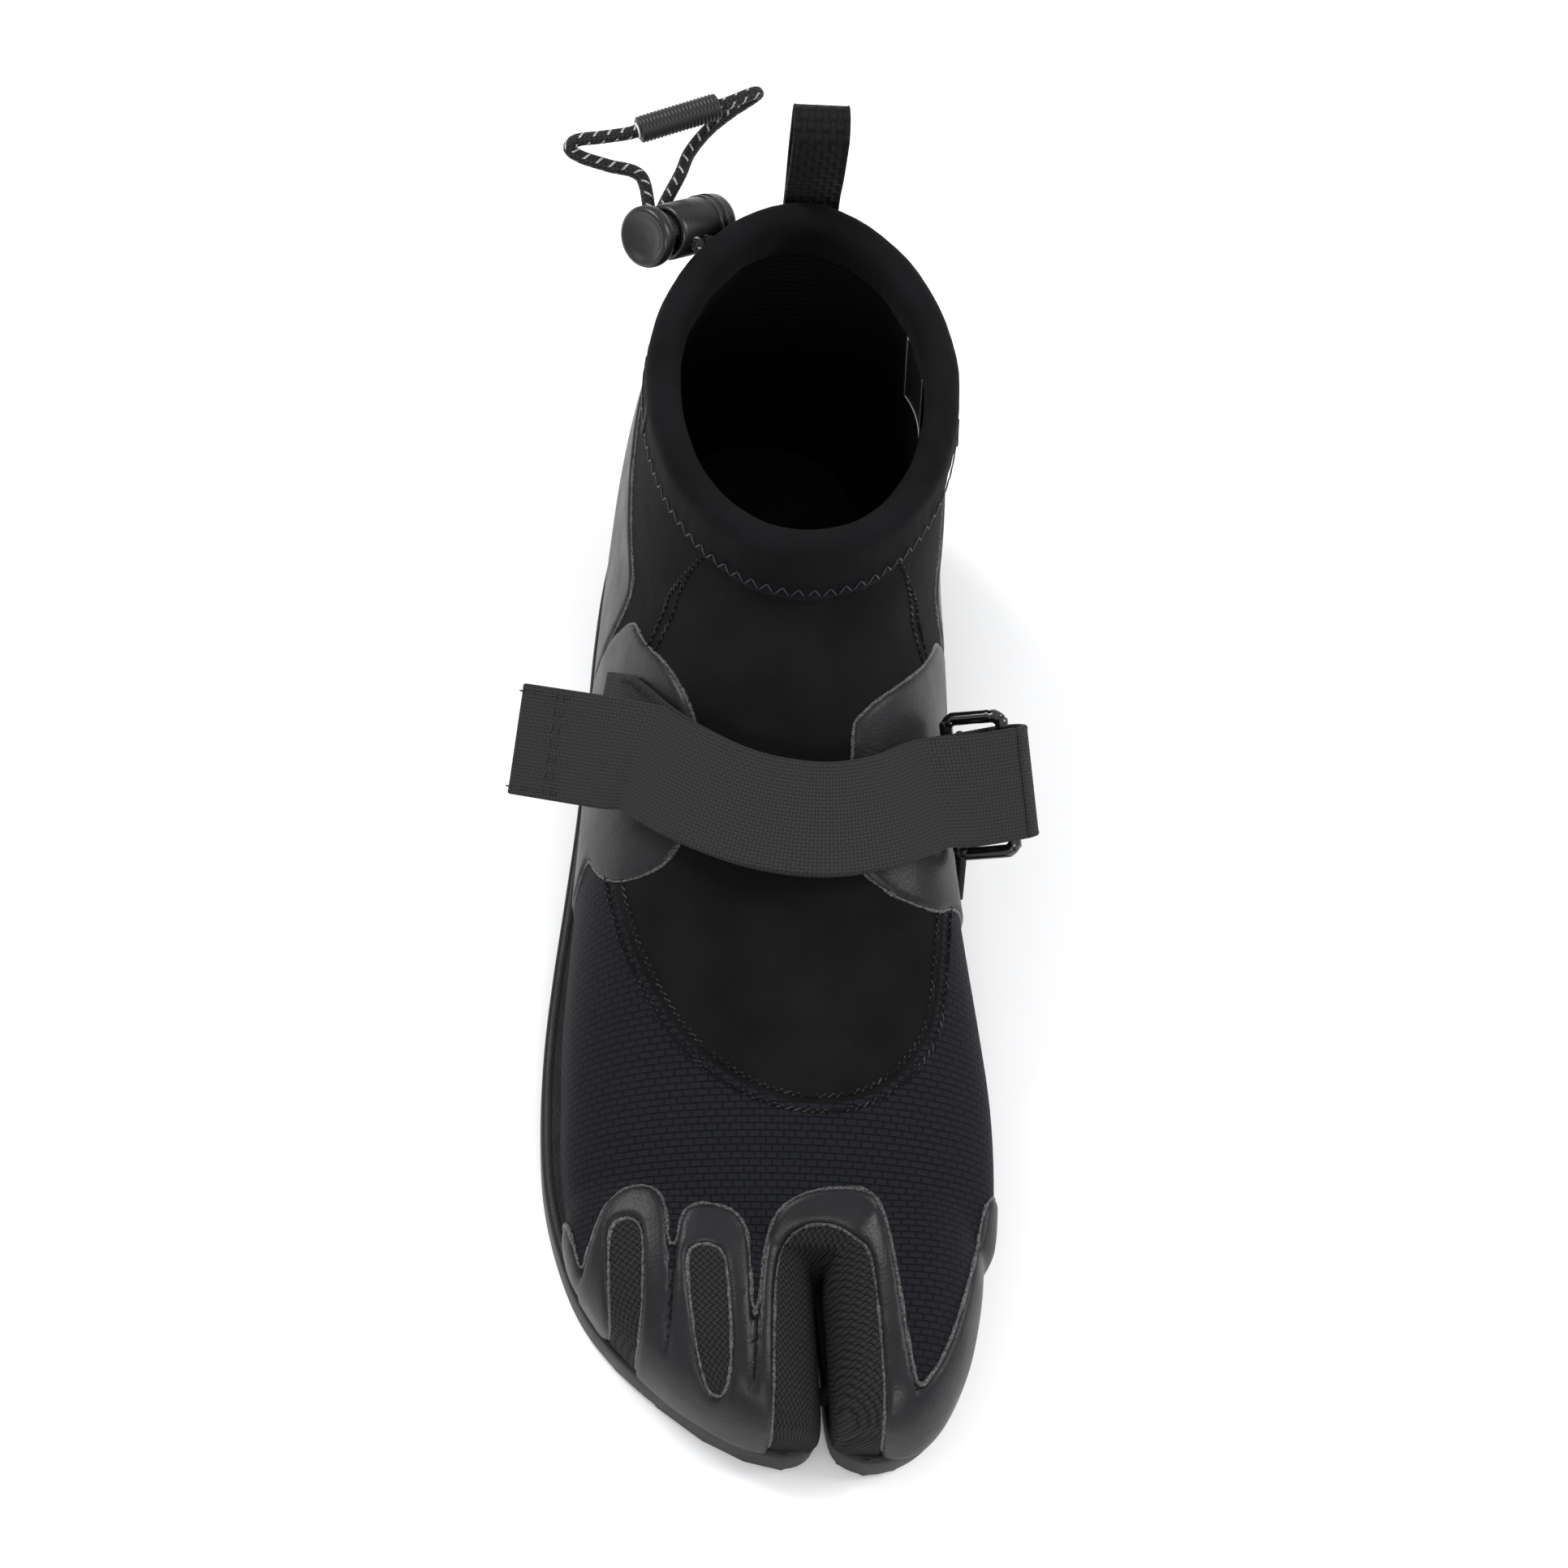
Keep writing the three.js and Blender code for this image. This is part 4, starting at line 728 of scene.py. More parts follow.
def stitches(name, lines, material, length, width, pitch, slant=0.0, lift=0.1, zigzag=0.0, **words):
    """Thread along lines on a surface. slant turns each stitch and zigzag swings them side to side."""
    shape, shape_faces = grain_shape()
    points, faces = [], []
    for line in lines:
        at, normal = evened_line(line, pitch)
        along = unit(np.gradient(at, axis=0))
        across = np.cross(normal, along)
        for k in range(len(at)):
            turn = slant + (zigzag if k % 2 else -zigzag)
            run = along[k] * math.cos(turn) + across[k] * math.sin(turn)
            side = np.cross(normal[k], run)
            size = np.array([length / 2, width / 2, width / 2])
            grain = shape * size @ np.array([run, side, normal[k]])
            faces += [[len(points) * len(shape) + i for i in face] for face in shape_faces]
            points.append(at[k] + normal[k] * lift + grain)
    return make(name, np.vstack(points), faces, material, **words)


def beads(name, lines, radius, material, body="boot", **words):
    """A rough bead of cement along lines on the skin."""
    points, faces, first = [], [], 0
    for line in lines:
        at, normal = evened_line(line, 0.8)
        lumps = rng.normal(0, 1, len(at) + 8)
        lumps = np.convolve(lumps, np.ones(4) / 4, "same")[4:-4]
        size = radius * np.clip(1 + 0.35 * lumps, 0.45, 1.7)
        p, f, _ = tube_mesh(at + normal * 0.05, size, sides=8)
        points.append(p)
        faces += [[first + k for k in face] for face in f]
        first += len(p)
    return make(name, np.vstack(points), faces, material, body, **words)


# ---- Panels ------------------------------------------------------------------------------------------
JERSEY = jersey("fine_jersey", (0.0048, 0.0048, 0.0050))
QUARTER_CLOTH = jersey("quarter_neoprene", (0.0045, 0.0045, 0.0050), 2000)
FOREFOOT_CLOTH = mesh_cloth("brick_mesh")
WINDOW_CLOTH = window_cloth("slanting_weave")
OVERLAY_RUBBER = moulded_rubber("overlay_rubber", (0.0085, 0.009, 0.010), 0.36)
SOLE_RUBBER = moulded_rubber("outsole_rubber", (0.007, 0.007, 0.0075), 0.45)
GLUE = glue("edge_cement")
THREAD = plain("black_thread", (0.006, 0.006, 0.007), 0.5, specular=0.4)
BLUE_THREAD = plain("dark_blue_thread", (0.008, 0.010, 0.018), 0.5, specular=0.5)

INSTEP_PLAN = [
    (-39, 70), (-39.5, -4), (-35.5, -24), (-29.5, -38), (-21, -51), (-8, -60.5), (6, -64), (20, -61), (29, -52),
    (33.5, -43), (35, -23), (36, 0), (37, 70),
]
INSTEP_SIDE = [(-80, 10), (-45, 22), (-8, 34), (22, 50), (42, 70), (47, 93), (50, 140), (-80, 140)]
QUARTER_FRONT = 4
shown = both(beyond(2, SOLE_TOP + 1), beyond(2, HEM_BOTTOM + 6, -1))
instep = both(from_above(INSTEP_PLAN), from_side(INSTEP_SIDE))
around_instep = both(outside(instep), shown)


def build_panels():
    skin_piece("instep_jersey", both(instep, shown), JERSEY, stands_for=["instep_panel"], slot="neoprene")
    front = both(around_instep, beyond(1, QUARTER_FRONT, -1))
    skin_piece("forefoot_mesh", front, FOREFOOT_CLOTH, stands_for=["forefoot_panel"], slot="mesh_cloth")
    behind = both(around_instep, beyond(1, QUARTER_FRONT))
    lateral = both(behind, beyond(0, -1, -1))
    medial = both(behind, beyond(0, -1))
    skin_piece("lateral_quarter_cloth", lateral, QUARTER_CLOTH, stands_for=["lateral_quarter"], slot="neoprene")
    skin_piece("medial_quarter_cloth", medial, QUARTER_CLOTH, stands_for=["medial_quarter"], slot="neoprene")
    under = beyond(2, SOLE_TOP + 1, -1)
    skin_piece("sock_bottom_cloth", under, QUARTER_CLOTH, stands_for=["sock_bottom"], slot="neoprene")
    build_lining()
    build_seams()


def build_lining():
    """The sock's inside, seen through the collar."""
    inside = beyond(2, RIM - 9, -1)
    points, normals, faces, _ = cut_skin(inside)
    make("sock_lining", points - normals * (NEOPRENE + 0.3), faces[:, ::-1], ribbed_lining("ribbed_lining"),
         slot="neoprene")


def build_seams():
    """Two rows of flatlock stitching round the instep panel."""
    open_end = both(shown, beyond(1, 44, -1))
    for k, inset in enumerate((1.6, -1.6)):
        lines = edge_lines(both(grown(instep, -inset), open_end))
        stitches(f"instep_seam_{k}", lines, THREAD, 2.3, 0.55, 1.9, slant=0.5, lift=0.12, slot="neoprene")
        beads(f"instep_seam_ridge_{k}", lines, 0.42, JERSEY, slot="neoprene")


# ---- Toe overlay, windows, anchors and heel counter --------------------------------------------------
TOE_OVERLAY = [
    (-60, -150), (-60, -72), (-50, -72), (-46, -84), (-42.5, -97), (-40.5, -90), (-38, -83), (-32, -79),
    (-26.2, -81), (-24.6, -88), (-23.8, -115), (-22.6, -88), (-19, -84), (-13, -84.5), (-8.2, -87), (-6.8, -94),
    (-5.6, -124), (-4, -94), (-1.5, -86), (4, -82), (12, -80.5), (19, -80.5), (22, -84), (24.5, -97), (27, -113),
    (29.5, -124), (35, -117), (39.5, -104), (43, -90), (46, -74), (60, -74), (60, -150),
]
TOE_TIPS = (4, 10, 16, 25)  # corners of the overlay that stay sharp: the tips of the mesh tongues
OUTER_WINDOW = [(-37.5, -90), (-35.5, -87), (-31, -87.5), (-29.6, -92), (-29.6, -112), (-31, -118), (-36, -111)]
MIDDLE_WINDOW = [
    (-21, -97), (-19.5, -93.5), (-13.5, -93.5), (-11.8, -97), (-10.2, -116), (-11, -126), (-17, -122),
]
SPLIT_WINDOW = [
    (-0.6, -150), (-1.6, -112), (-1, -95), (2, -89.5), (8, -87.6), (14, -88.6), (18.4, -92.5), (20, -97),
    (22.2, -118), (24, -150),
]
LATERAL_ANCHOR = [
    (-4, 0), (-4, 24), (1, 33), (-7, 38), (-13, 45), (-13, 53), (-6, 58), (4, 60), (16, 70), (29, 70), (40, 62),
    (50, 58), (50, 0),
]
MEDIAL_ANCHOR = [
    (-12, 0), (-12, 30), (-14, 42), (-19, 47), (-18, 57), (6, 69), (16, 75), (24, 73), (36, 64), (50, 54),
    (50, 0),
]
HEEL_COUNTER = [(50, 0), (50, 57), (66, 62), (88, 74), (106, 88), (112, 100), (160, 100), (160, 0)]
INNER_EDGE = 13  # how far the anchors stay off the middle of the instep


def build_overlays():
    above_sole = beyond(2, CUP_HEIGHT - 1.5)
    below_hem = beyond(2, HEM_BOTTOM - 1, -1)
    toes = both(beyond(1, -60, -1), above_sole)
    windows = {
        "outer_toe_insert": from_above(OUTER_WINDOW),
        "middle_toe_insert": from_above(MIDDLE_WINDOW),
        "split_toe_insert": from_above(SPLIT_WINDOW),
    }
    open_toes = both(toes, from_above(TOE_OVERLAY, TOE_TIPS), *[outside(w) for w in windows.values()])
    skin_piece("toe_overlay_rubber", open_toes, OVERLAY_RUBBER, RUBBER, 1.3,
               stands_for=["toe_overlay"], slot="overlay_rubber")
    beads("toe_overlay_cement", edge_lines(both(open_toes, beyond(2, CUP_HEIGHT + 2))), 0.5, GLUE,
          slot="overlay_rubber")
    for node, window in windows.items():
        skin_piece(node + "_cloth", both(toes, grown(window, 0.2)), WINDOW_CLOTH, 0.28, 0.4,
                   stands_for=[node], slot="mesh_cloth")
    anchors = {
        "lateral_strap_anchor": both(from_side(LATERAL_ANCHOR), beyond(0, -INNER_EDGE, -1)),
        "medial_strap_anchor": both(from_side(MEDIAL_ANCHOR), beyond(0, INNER_EDGE)),
        "heel_counter": from_side(HEEL_COUNTER),
    }
    for node, shape in anchors.items():
        region = both(shape, above_sole, below_hem)
        skin_piece(node + "_rubber", region, OVERLAY_RUBBER, RUBBER, 1.3, stands_for=[node],
                   slot="overlay_rubber")
        beads(node + "_cement", edge_lines(both(region, beyond(2, CUP_HEIGHT + 2))), 0.42, GLUE,
              slot="overlay_rubber")


# ---- Outsole -----------------------------------------------------------------------------------------
SOLE_OUTLINE = np.array([
    (0, 136), (13, 133.5), (24, 125), (31, 111), (34, 92), (34.3, 66), (34.2, 40), (35.2, 15), (37.2, -6),
    (39.8, -24), (42.5, -42), (44.6, -60), (45.2, -78), (44.8, -94), (42.6, -107), (38.8, -118.5), (33.2, -127),
    (26.8, -131.6), (20, -133), (14.2, -130.4), (12, -124.5), (10.8, -112), (9.2, -97), (8.2, -97), (9, -112),
    (9.4, -124), (7.4, -130), (2.2, -132.2), (-6, -130.4), (-15.2, -125.8), (-24.8, -118.6), (-34.2, -110),
    (-42, -99.5), (-47.4, -86), (-50.8, -70.5), (-51.9, -53), (-51.6, -36), (-50.1, -18), (-47.9, 2), (-45.6, 24),
    (-43.9, 48), (-42.6, 70), (-40.4, 90), (-36.5, 108), (-28.5, 123), (-15.5, 133),
])


def build_outsole():
    """A smooth skin round the outsole's wall. The CAD outsole shows below it, with its tread."""
    outline = along_curve(SOLE_OUTLINE * GRADE[:2], spacing=1.2, closed=True)
    run = np.roll(outline, -1, 0) - np.roll(outline, 1, 0)
    out = unit(np.stack([-run[:, 1], run[:, 0]], 1))
    if (distance_to(outline, outline + out * 0.5) < 0).mean() > 0.5:
        out = -out
    top = CUP_HEIGHT
    profile = [
        (0.1, 1.2), (0.35, 1.7), (0.35, top - 1.4), (0.15, top - 0.4), (-0.5, top + 0.1), (-1.6, top + 0.15),
        (-3.2, top - 0.3),
    ]
    rows = [np.column_stack([outline + out * grow, np.full(len(outline), z)]) for grow, z in profile]
    faces = grid_faces(len(rows), len(outline), closed=True)
    make("outsole_wall", np.vstack(rows), faces[:, ::-1], SOLE_RUBBER, slot="outsole_rubber")
    keep_shown("outsole", SOLE_RUBBER)
    keep_shown("insole_footbed", jersey("footbed_cloth", (0.012, 0.012, 0.013)))


# ---- Collar hem --------------------------------------------------------------------------------------
def hem_arc(v_from, v_to, count=260):
    """Part of the rolled hem: outer wall, round top and inner wall, puckered along its stitching."""
    v = np.linspace(v_from, v_to, count)
    half, middle, top = 3.9, -1.3, RIM - 4.1
    profile = [(HEM_BOTTOM, 0.5), (HEM_BOTTOM + 0.5, 1.5), (HEM_BOTTOM + 2, 2.1), (HEM_BOTTOM + 6, 2.5)]
    for k in range(13):
        angle = math.pi * k / 12
        profile.append((top + 4.3 * math.sin(angle) ** 0.9, middle + half * math.cos(angle)))
    profile += [(HEM_BOTTOM + 6, -5.1), (HEM_BOTTOM + 2, -4.9), (HEM_BOTTOM - 1, -3.4)]
    pucker = 0.06 * np.sin(v * 2 * math.pi * 62) + 0.16 * np.sin(v * 2 * math.pi * 19 + 1)
    rows = []
    for z, offset in profile:
        fade = math.exp(-((z - HEM_BOTTOM) / 5) ** 2)
        low = min(z, RIM - 5)
        row = at_level(v, low, offset + pucker * (0.25 + fade))
        row[:, 2] += z - low + 0.12 * np.sin(v * 2 * math.pi * 9)
        rows.append(row)
    uv = np.stack(np.meshgrid(v * 210, [p[0] + p[1] for p in profile]), -1).reshape(-1, 2)
    return np.vstack(rows), grid_faces(len(rows), count), uv


def hem_line(v_from, v_to, z, offset, count=240):
    v = np.linspace(v_from, v_to, count)
    at = at_level(v, z, offset)
    return at, unit(at_level(v, z, offset + 1) - at)


def build_hem():
    around = np.linspace(0, 0.5, 400)
    seam_right = around[np.argmin(np.abs(at_level(around, RIM - 6)[:, 1] - HEM_SEAM))]
    around = np.linspace(0.5, 1, 400)
    seam_left = around[np.argmin(np.abs(at_level(around, RIM - 6)[:, 1] - HEM_SEAM))]
    cloth = jersey("collar_jersey", (0.0048, 0.0048, 0.0056), 2200)
    arcs = {"collar_hem_front": (seam_left - 1, seam_right), "collar_hem_rear": (seam_right, seam_left)}
    for node, (start, end) in arcs.items():
        points, faces, uv = hem_arc(start, end)
        make(node + "_roll", points, faces[:, ::-1], cloth, uv=uv, stands_for=[node], slot="neoprene")
        low = hem_line(start, end, HEM_BOTTOM + 2.4, 2.3)
        stitches(node + "_zigzag", [low], BLUE_THREAD, 4.0, 0.42, 1.7, lift=0.15, zigzag=1.1,
                 slot="neoprene")
    for k, v in enumerate((seam_right, seam_left)):
        z = np.linspace(HEM_BOTTOM + 1, RIM - 4, 30)
        at = np.array([at_level(v, h, 2.6) for h in z])
        normal = unit(np.array([at_level(v, h, 3.6) - at_level(v, h, 2.6) for h in z]))
        stitches(f"collar_seam_{k}", [(at, normal)], THREAD, 2.4, 0.5, 0.9, slant=1.2, slot="neoprene")


# ---- Webbing -----------------------------------------------------------------------------------------
def band_stations(node, width, thickness):
    """Middles, width directions and normals along a CAD band of webbing, in order, read from its mesh."""
    keys = [tuple(p) for p in node_points(node)]
    links = {frozenset((keys[a], keys[b])) for a, b in (e.vertices for e in frame["nodes"][node].data.edges)}
    links = [tuple(link) for link in links if len(link) == 2]
    lines = [link for link in links if abs(math.dist(*link) - width) < 0.004]
    line_of = {end: k for k, line in enumerate(lines) for end in line}
    mate = {}
    for a, b in links:
        i, j = line_of.get(a), line_of.get(b)
        if i is not None and j is not None and i != j and abs(math.dist(a, b) - thickness) < 0.004:
            mate.setdefault(i, []).append(j)
            mate.setdefault(j, []).append(i)
    partner = {i: max(found, key=found.count) for i, found in mate.items()}
    stations, owner = [], {}
    for i, j in partner.items():
        if i < j and partner.get(j) == i:
            for end in (*lines[i], *lines[j]):
                owner[end] = len(stations)
            ends = [np.array(end) for end in (*lines[i], *lines[j])]
            normal = unit((ends[0] + ends[1]) - (ends[2] + ends[3]))
            stations.append((sum(ends) / 4, unit(ends[1] - ends[0]), normal))
    ways = {k: set() for k in range(len(stations))}
    for a, b in links:
        i, j = owner.get(a), owner.get(b)
        if i is not None and j is not None and i != j:
            ways[i].add(j)
            ways[j].add(i)
    order = [min((k for k in ways if len(ways[k]) == 1), key=lambda k: stations[k][0][0])]
    while len(order) < len(stations):
        order.append(next(k for k in ways[order[-1]] if k not in order))
    middle, across, normal = (np.array([stations[k][part] for k in order]) for part in range(3))
    for k in range(1, len(order)):
        across[k] *= np.sign(across[k] @ across[k - 1]) or 1
        normal[k] *= np.sign(normal[k] @ normal[k - 1]) or 1
    return middle, across, normal


def fine_band(node, width, thickness, spacing=1.0):
    """The same band in small steps along a smooth curve."""
    stations = np.hstack(band_stations(node, width, thickness))
    even = along_curve(stations, spacing=spacing)
    return even[:, :3], unit(even[:, 3:6]), unit(even[:, 6:])


def band_mesh(middle, across, normal, width, thickness, edge_swell=0.0):
    """Points, faces and surface coordinates of webbing with rounded edges. edge_swell thickens its selvage."""
    h = thickness / 2
    swell = h + edge_swell
    outline = [(-1, 0), (-0.985, -0.75), (-0.95, -1)] + [(s, -1) for s in np.linspace(-0.88, 0.88, 11)]
    outline += [(0.95, -1), (0.985, -0.75), (1, 0), (0.985, 0.75), (0.95, 1)]
    outline += [(s, 1) for s in np.linspace(0.88, -0.88, 11)] + [(-0.95, 1), (-0.985, 0.75)]
    rows, uv = [], []
    walked = np.r_[0, np.cumsum(np.linalg.norm(np.diff(middle, axis=0), axis=1))]
    for share, level in outline:
        height = (swell if abs(share) > 0.92 else h) * level
        rows.append(middle + across * share * width / 2 + normal * height)
        uv.append(np.stack([np.full(len(middle), share * width / 2), walked], 1))
    points = np.stack(rows, 1).reshape(-1, 3)
    uv = np.stack(uv, 1).reshape(-1, 2)
    faces = grid_faces(len(middle), len(outline), closed=True).tolist()
    faces.append(list(range(len(outline) - 1, -1, -1)))
    faces.append([(len(middle) - 1) * len(outline) + k for k in range(len(outline))])
    return points, faces, uv


def band_piece(name, node, band, width, thickness, swell, material, body="boot", slot="webbing"):
    points, faces, uv = band_mesh(*band, width, thickness, swell)
    make(name, points, faces, material, body, uv=uv, stands_for=[node], slot=slot)


def strip_line(band, share, width, lift, start=0.0, end=1.0):
    """A line along a band, at a share of its half width, for stitches."""
    middle, across, normal = band
    first, last = int(start * (len(middle) - 1)), int(end * (len(middle) - 1)) + 1
    at = middle + across * share * width / 2 + normal * lift
    return at[first:last], normal[first:last]


def cross_line(band, k, width, lift, reach=0.85):
    """A line across a band at its station k."""
    middle, across, normal = band
    share = np.linspace(-reach, reach, 24)[:, None]
    at = middle[k] + across[k] * share * width / 2 + normal[k] * lift
    return at, np.repeat(normal[k][None], len(at), 0)


STRAP_WIDTH, KEEPER_WIDTH, TAB_WIDTH = 25, 19, 12.7
PATCH_WIDTH = STRAP_WIDTH - 4
WEBBING, KEEPER_THICKNESS, PATCH_THICKNESS = 1.6, 1.4, 0.6
SELVAGE = 0.12  # how much thicker the strap's edges are
STRAP_CLOTH = webbing("strap_webbing", (0.024, 0.0235, 0.023), 0.8, 0.8, 0.0002)
TAB_CLOTH = webbing("tab_webbing", (0.006, 0.006, 0.0065), 1.6, 2.2, 0.0006)


def facing_up(band):
    """The band with its normals turned to the sky, judged at its middle."""
    middle, across, normal = band
    return (middle, across, normal) if normal[len(normal) // 2][2] > 0 else (middle, across, -normal)


def build_strap():
    lower = facing_up(fine_band("instep_strap", STRAP_WIDTH, WEBBING))
    band_piece("strap_lower_layer", "instep_strap", lower, STRAP_WIDTH, WEBBING, SELVAGE, STRAP_CLOTH)
    flap = facing_up(fine_band("strap_flap", STRAP_WIDTH, WEBBING))
    band_piece("strap_upper_layer", "strap_flap", flap, STRAP_WIDTH, WEBBING, SELVAGE, STRAP_CLOTH,
               "strap_flap")
    top = WEBBING / 2
    first_is_tab = flap[0][0][0] < flap[0][-1][0]
    steps = [9, 11] if first_is_tab else [-10, -12]
    rows = [cross_line(flap, k, STRAP_WIDTH, top) for k in steps]
    stitches("strap_end_stitches", rows, THREAD, 2.1, 0.5, 2.7, lift=0.05, body="strap_flap", slot="webbing")
    sides = [strip_line(flap, s, STRAP_WIDTH, top, 0.0 if first_is_tab else 0.9, 0.1 if first_is_tab else 1.0)
             for s in (-0.86, 0.86)]
    stitches("strap_side_stitches", sides, THREAD, 1.8, 0.45, 2.6, lift=0.05, body="strap_flap", slot="webbing")

    end_width = STRAP_WIDTH - 0.6
    end = facing_up(fine_band("strap_end_tab", end_width, WEBBING))
    band_piece("strap_folded_end", "strap_end_tab", end, end_width, WEBBING, 0.1, STRAP_CLOTH, "strap_flap")

    fuzz = Nodes("hook_and_loop", (0.006, 0.006, 0.0065), 0.95, specular=0.15, sheen=0.03)
    fuzz.bump(fuzz.noise(2600, 3), 0.0006, 1.0)
    for node, body in (("loop_patch", "boot"), ("hook_patch", "strap_flap")):
        patch = fine_band(node, PATCH_WIDTH, PATCH_THICKNESS)
        band_piece(node + "_tape", node, patch, PATCH_WIDTH, PATCH_THICKNESS, 0, fuzz.material, body,
                   "loop_pile")
    build_pile(flap, lower)

    keeper = fine_band("ring_keeper", KEEPER_WIDTH, KEEPER_THICKNESS)
    band_piece("ring_keeper_webbing", "ring_keeper", keeper, KEEPER_WIDTH, KEEPER_THICKNESS, 0.1, STRAP_CLOTH)
    build_ring()


def build_pile(flap, lower):
    """Short loops of fluff that show along the strap's edges, between its two layers."""
    points, faces = [], []
    for side in (-1, 1):
        band = [a[int(0.08 * len(a)):int(0.5 * len(a))] for a in lower]
        for k in range(len(band[0])):
            for _ in range(3):
                edge = band[1][k] * side * (STRAP_WIDTH / 2 - 1.9)
                root = band[0][k] + edge + band[2][k] * (WEBBING / 2 + 0.5)
                root = root + rng.normal(0, 0.25, 3)
                tip = root + band[1][k] * side * rng.uniform(0.3, 1.3) + band[2][k] * rng.uniform(-0.2, 0.5)
                bend = (root + tip) / 2 + band[2][k] * 0.3
                p, f, _ = tube_mesh(along_curve([root, bend, tip], count=4), 0.07, sides=4)
                faces += [[sum(map(len, points)) + i for i in face] for face in f]
                points.append(p)
    make("strap_pile_fluff", np.vstack(points), faces, plain("pile_fibre", (0.008, 0.008, 0.0085), 0.7),
         slot="loop_pile")


def build_ring():
    middle, axes, size = principal("strap_ring")
    wire = size[2]
    half = (size[:2] - wire) / 2
    corner = wire * 0.75
    path = []
    for sx, sy, start in ((1, 1, 0), (-1, 1, 90), (-1, -1, 180), (1, -1, 270)):
        for k in range(7):
            angle = math.radians(start + 15 * k)
            x = sx * (half[0] - corner) + corner * math.cos(angle)
            y = sy * (half[1] - corner) + corner * math.sin(angle)
            path.append(middle + axes[0] * x + axes[1] * y)
    path = along_curve(path, spacing=0.7, closed=True)
    p, f, _ = tube_mesh(path, wire / 2, sides=20, closed=True)
    gloss = Nodes("gloss_plastic", (0.006, 0.006, 0.007), 0.18, specular=0.55, coat=0.3)
    gloss.bump(gloss.noise(120, 2), 0.0004, 0.12)
    make("ring_wire", p, f, gloss.material, "strap_ring", stands_for=["strap_ring"], slot="black_plastic")


def build_pull_tab():
    tab = fine_band("pull_tab", TAB_WIDTH, WEBBING, 0.7)
    band_piece("pull_tab_webbing", "pull_tab", tab, TAB_WIDTH, WEBBING, 0.15, TAB_CLOTH)


# ---- Cord lock and drawcord --------------------------------------------------------------------------
LEFT_LOOP = [
    (-37, 138, 103.5), (-44.5, 139.5, 105), (-50.5, 140.3, 106.6), (-53.4, 141.4, 108.2), (-51.8, 142.6, 109.8),
    (-46.5, 143.4, 110.2),
]
RIGHT_LOOP = [
    (-28, 140, 102.3), (-26, 145.5, 103.2), (-22, 151, 104.6), (-17, 155.5, 105.8), (-12.8, 158.3, 107),
    (-10.9, 159, 108.6), (-12.2, 157.9, 110),
]
SEAT_HEIGHT = 13.2  # cords above the barrel's closed end
CORD_PITCH = 3.6
IN_SLEEVE = 5


def lock_frame():
    """The barrel's closed end, its axis towards the button, its length and its radius."""
    axis = -unit(joint("button_slide")["axis"])
    p = node_points("cord_lock_barrel")
    a = unit(np.cross(axis, (0, 0, 1)))
    b = np.cross(axis, a)
    middle = sum((((p @ d).max() + (p @ d).min()) / 2) * d for d in (axis, a, b))
    length = (p @ axis).max() - (p @ axis).min()
    radius = ((p @ a).max() - (p @ a).min()) / 2
    return middle - axis * length / 2, axis, length, radius


def hem_exit(node):
    """Where a stub of the drawcord comes out of the hem."""
    p = node_points(node)
    out = unit(joint("lock_slide")["axis"])
    far = (p @ out) < (p @ out).min() + 3.2
    return p[far].mean(0)


def build_drawcord():
    """The drawcord's two lengths, from the hem through the lock to the sleeve."""
    start, axis, _, radius = lock_frame()
    out = unit(joint("lock_slide")["axis"])
    sleeve_middle, sleeve_axes, sleeve_size = principal("cord_sleeve")
    sleeve_axis = sleeve_axes[0] * np.sign(sleeve_axes[0][0])
    left = sleeve_middle - sleeve_axis * sleeve_size[0] / 2
    right = sleeve_middle + sleeve_axis * sleeve_size[0] / 2
    cover = braid("braided_cover")
    routes = {
        "left": ("cord_stub_front", SEAT_HEIGHT + CORD_PITCH / 2, LEFT_LOOP, left, sleeve_axis),
        "right": ("cord_stub_rear", SEAT_HEIGHT - CORD_PITCH / 2, RIGHT_LOOP, right, -sleeve_axis),
    }
    cords = []
    for side, (stub, seat, loop, end, inwards) in routes.items():
        steps = (-radius - 0.5, -radius / 2, 0, radius / 2, radius + 1)
        through = [start + axis * seat + out * s for s in steps]
        ending = [end - inwards * 2.5, end, end + inwards * IN_SLEEVE]
        path = along_curve([hem_exit(stub), *through, *loop, *ending], spacing=0.6)
        p, f, uv = tube_mesh(path, CORD / 2, sides=16)
        made = make("drawcord_" + side, p, f, cover, None, uv=uv, slot="cord_cover",
                    stands_for=[stub, "cord_loop_" + side])
        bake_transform(made)
        length = np.linalg.norm(np.diff(path, axis=0), axis=1).sum()
        cords.append((made, path, length))
    return cords


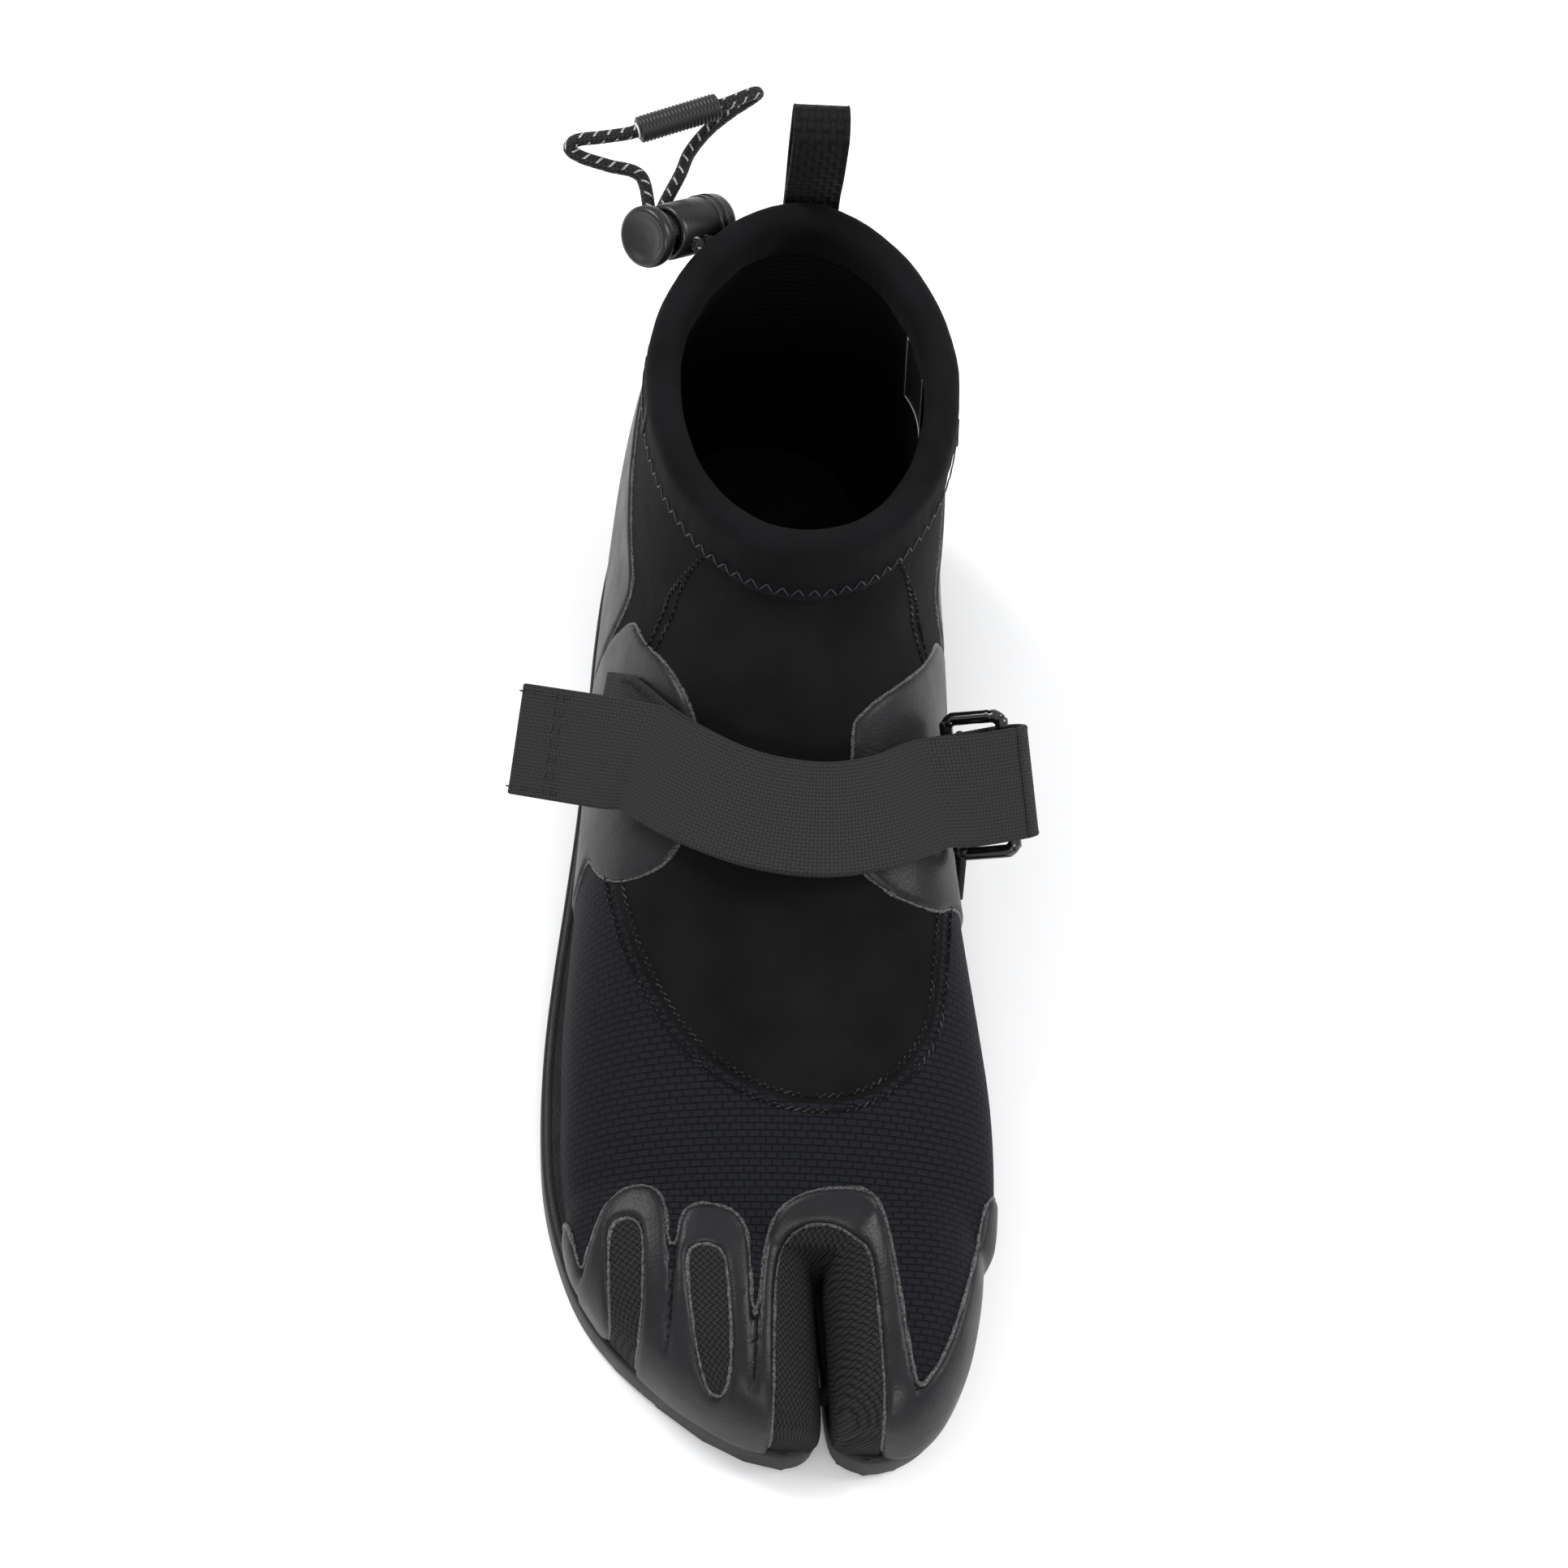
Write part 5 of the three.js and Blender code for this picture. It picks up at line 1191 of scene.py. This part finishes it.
def build_lock():
    start, axis, length, radius = lock_frame()
    matt = Nodes("lock_plastic", (0.006, 0.006, 0.0065), 0.36, specular=0.45)
    matt.bump(matt.noise(900, 2), 0.0002, 0.25)
    wall = 1.2
    profile = [
        (0, 0), (radius - 1.6, 0), (radius - 0.6, 0.25), (radius - 0.1, 0.9), (radius, 1.6), (radius, length - 1.2),
        (radius - 0.15, length - 0.5), (radius - 0.6, length), (radius - wall, length), (radius - wall, wall),
        (0, wall),
    ]
    barrel = turned("lock_barrel", profile, start, axis, matt.material, "cord_lock")
    for k, height in enumerate((3.2, 5.4)):
        ring = [(radius - 0.2, height), (radius + 0.25, height + 0.3), (radius + 0.25, height + 0.8),
                (radius - 0.2, height + 1.1)]
        turned(f"lock_grip_{k}", ring, start, axis, matt.material, "cord_lock")
    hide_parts("cord_lock_barrel")

    button_points = node_points("cord_lock_button")
    height = button_points @ axis - start @ axis
    top, wide, low = height.max(), 7.0, height.max() - 3.4
    sides = [f.vertices[:] for f in frame["nodes"]["cord_lock_button"].data.polygons]
    sides = np.array([f for f in sides if len(f) == 3 and height[list(f)].max() < low + 0.05])
    used, faces = np.unique(sides, return_inverse=True)
    make("lock_button_stem", button_points[used], faces.reshape(-1, 3), matt.material, "lock_button",
         slot="black_plastic")
    profile = [(0, low), (wide - 0.9, low), (wide - 0.2, low + 0.3),
               (wide, low + 1), (wide, top - 1.1), (wide - 0.25, top - 0.4), (wide - 0.9, top),
               (wide - 1.5, top - 0.1),
               (wide - 2.2, top - 0.8), (wide * 0.4, top - 1.2), (0, top - 1.3)]
    turned("lock_button_cap", profile, start, axis, matt.material, "lock_button",
           stands_for=["cord_lock_button"])
    return barrel


def build_sleeve():
    middle, axes, size = principal("cord_sleeve")
    axis = axes[0] * np.sign(axes[0][0])
    length, radius = size[0], 3.2
    profile = [(CORD / 2 + 0.1, 0), (radius - 0.7, 0), (radius - 0.15, 0.35)]
    ribs = int(length / 0.9)
    for k in range(1, ribs * 4):
        h = 0.5 + (length - 1) * k / (ribs * 4)
        profile.append((radius - 0.16 + 0.16 * math.cos(2 * math.pi * k / 4), h))
    profile += [(radius - 0.15, length - 0.35), (radius - 0.7, length), (CORD / 2 + 0.1, length)]
    end = middle - axis * length / 2
    skin = Nodes("sleeve_plastic", (0.006, 0.006, 0.0065), 0.45, specular=0.4)
    skin.bump(skin.noise(700, 2), 0.0002, 0.3)
    sleeve = turned("sleeve", profile, end, axis, skin.material, "cord_lock", sides=32,
                    stands_for=["cord_sleeve"])
    ring = [(CORD / 2 + 0.05, -0.5), (CORD / 2 + 0.4, -0.45), (CORD / 2 + 0.4, -0.1), (CORD / 2 + 0.05, 0)]
    white = plain("white_thread", (0.6, 0.6, 0.58), 0.6)
    thread = turned("sleeve_thread", ring, end, axis, white, "cord_lock", "cord_cover", 24)
    return sleeve, thread


def build_label():
    """A blank tape sewn inside the collar, with a plain pale border."""
    middle, axes, size = principal("care_label")
    inwards = axes[2] * (1 if (np.array((0, 85, middle[2])) - middle) @ axes[2] > 0 else -1)
    tape = Nodes("label_tape", (0.006, 0.006, 0.0065), 0.55, specular=0.4)
    tape.bump(tape.noise(1800, 1), 0.0002, 0.3)
    u, v = np.meshgrid(np.linspace(-1, 1, 24), np.linspace(-1, 1, 14), indexing="ij")
    bow = 1.2 * v ** 2 - 0.5

    def place(a, b, bow, lift):
        flat = middle + np.multiply.outer(a, axes[0]) * size[0] / 2
        flat = flat + np.multiply.outer(b, axes[1]) * size[1] / 2
        return (flat + np.multiply.outer(lift + bow, inwards)).reshape(-1, 3)

    points = place(u, v, bow, 0 * u)
    make("label", points, grid_faces(24, 14), tape.material, stands_for=["care_label"], slot="label_cloth")
    share = np.linspace(-0.88, 0.88, 24)
    edge = [(s, -0.86) for s in share] + [(0.9, s) for s in share] + [(-s, 0.86) for s in share]
    edge += [(-0.9, -s) for s in share]
    edge = np.array(edge)
    border = place(edge[:, 0], edge[:, 1], 1.2 * edge[:, 1] ** 2 - 0.5, np.full(len(edge), 0.12))
    p, f, _ = tube_mesh(border, 0.13, sides=6, closed=True)
    make("label_border", p, f, plain("pale_print", (0.35, 0.35, 0.36), 0.6), slot="label_cloth")


# ---- Everything together -----------------------------------------------------------------------------
set_camera()
set_studio()
drawcords = build_drawcord()
lock_barrel = build_lock()
sleeve_pieces = build_sleeve()
build_panels()
build_overlays()
build_outsole()
build_hem()
build_strap()
build_pull_tab()
build_label()
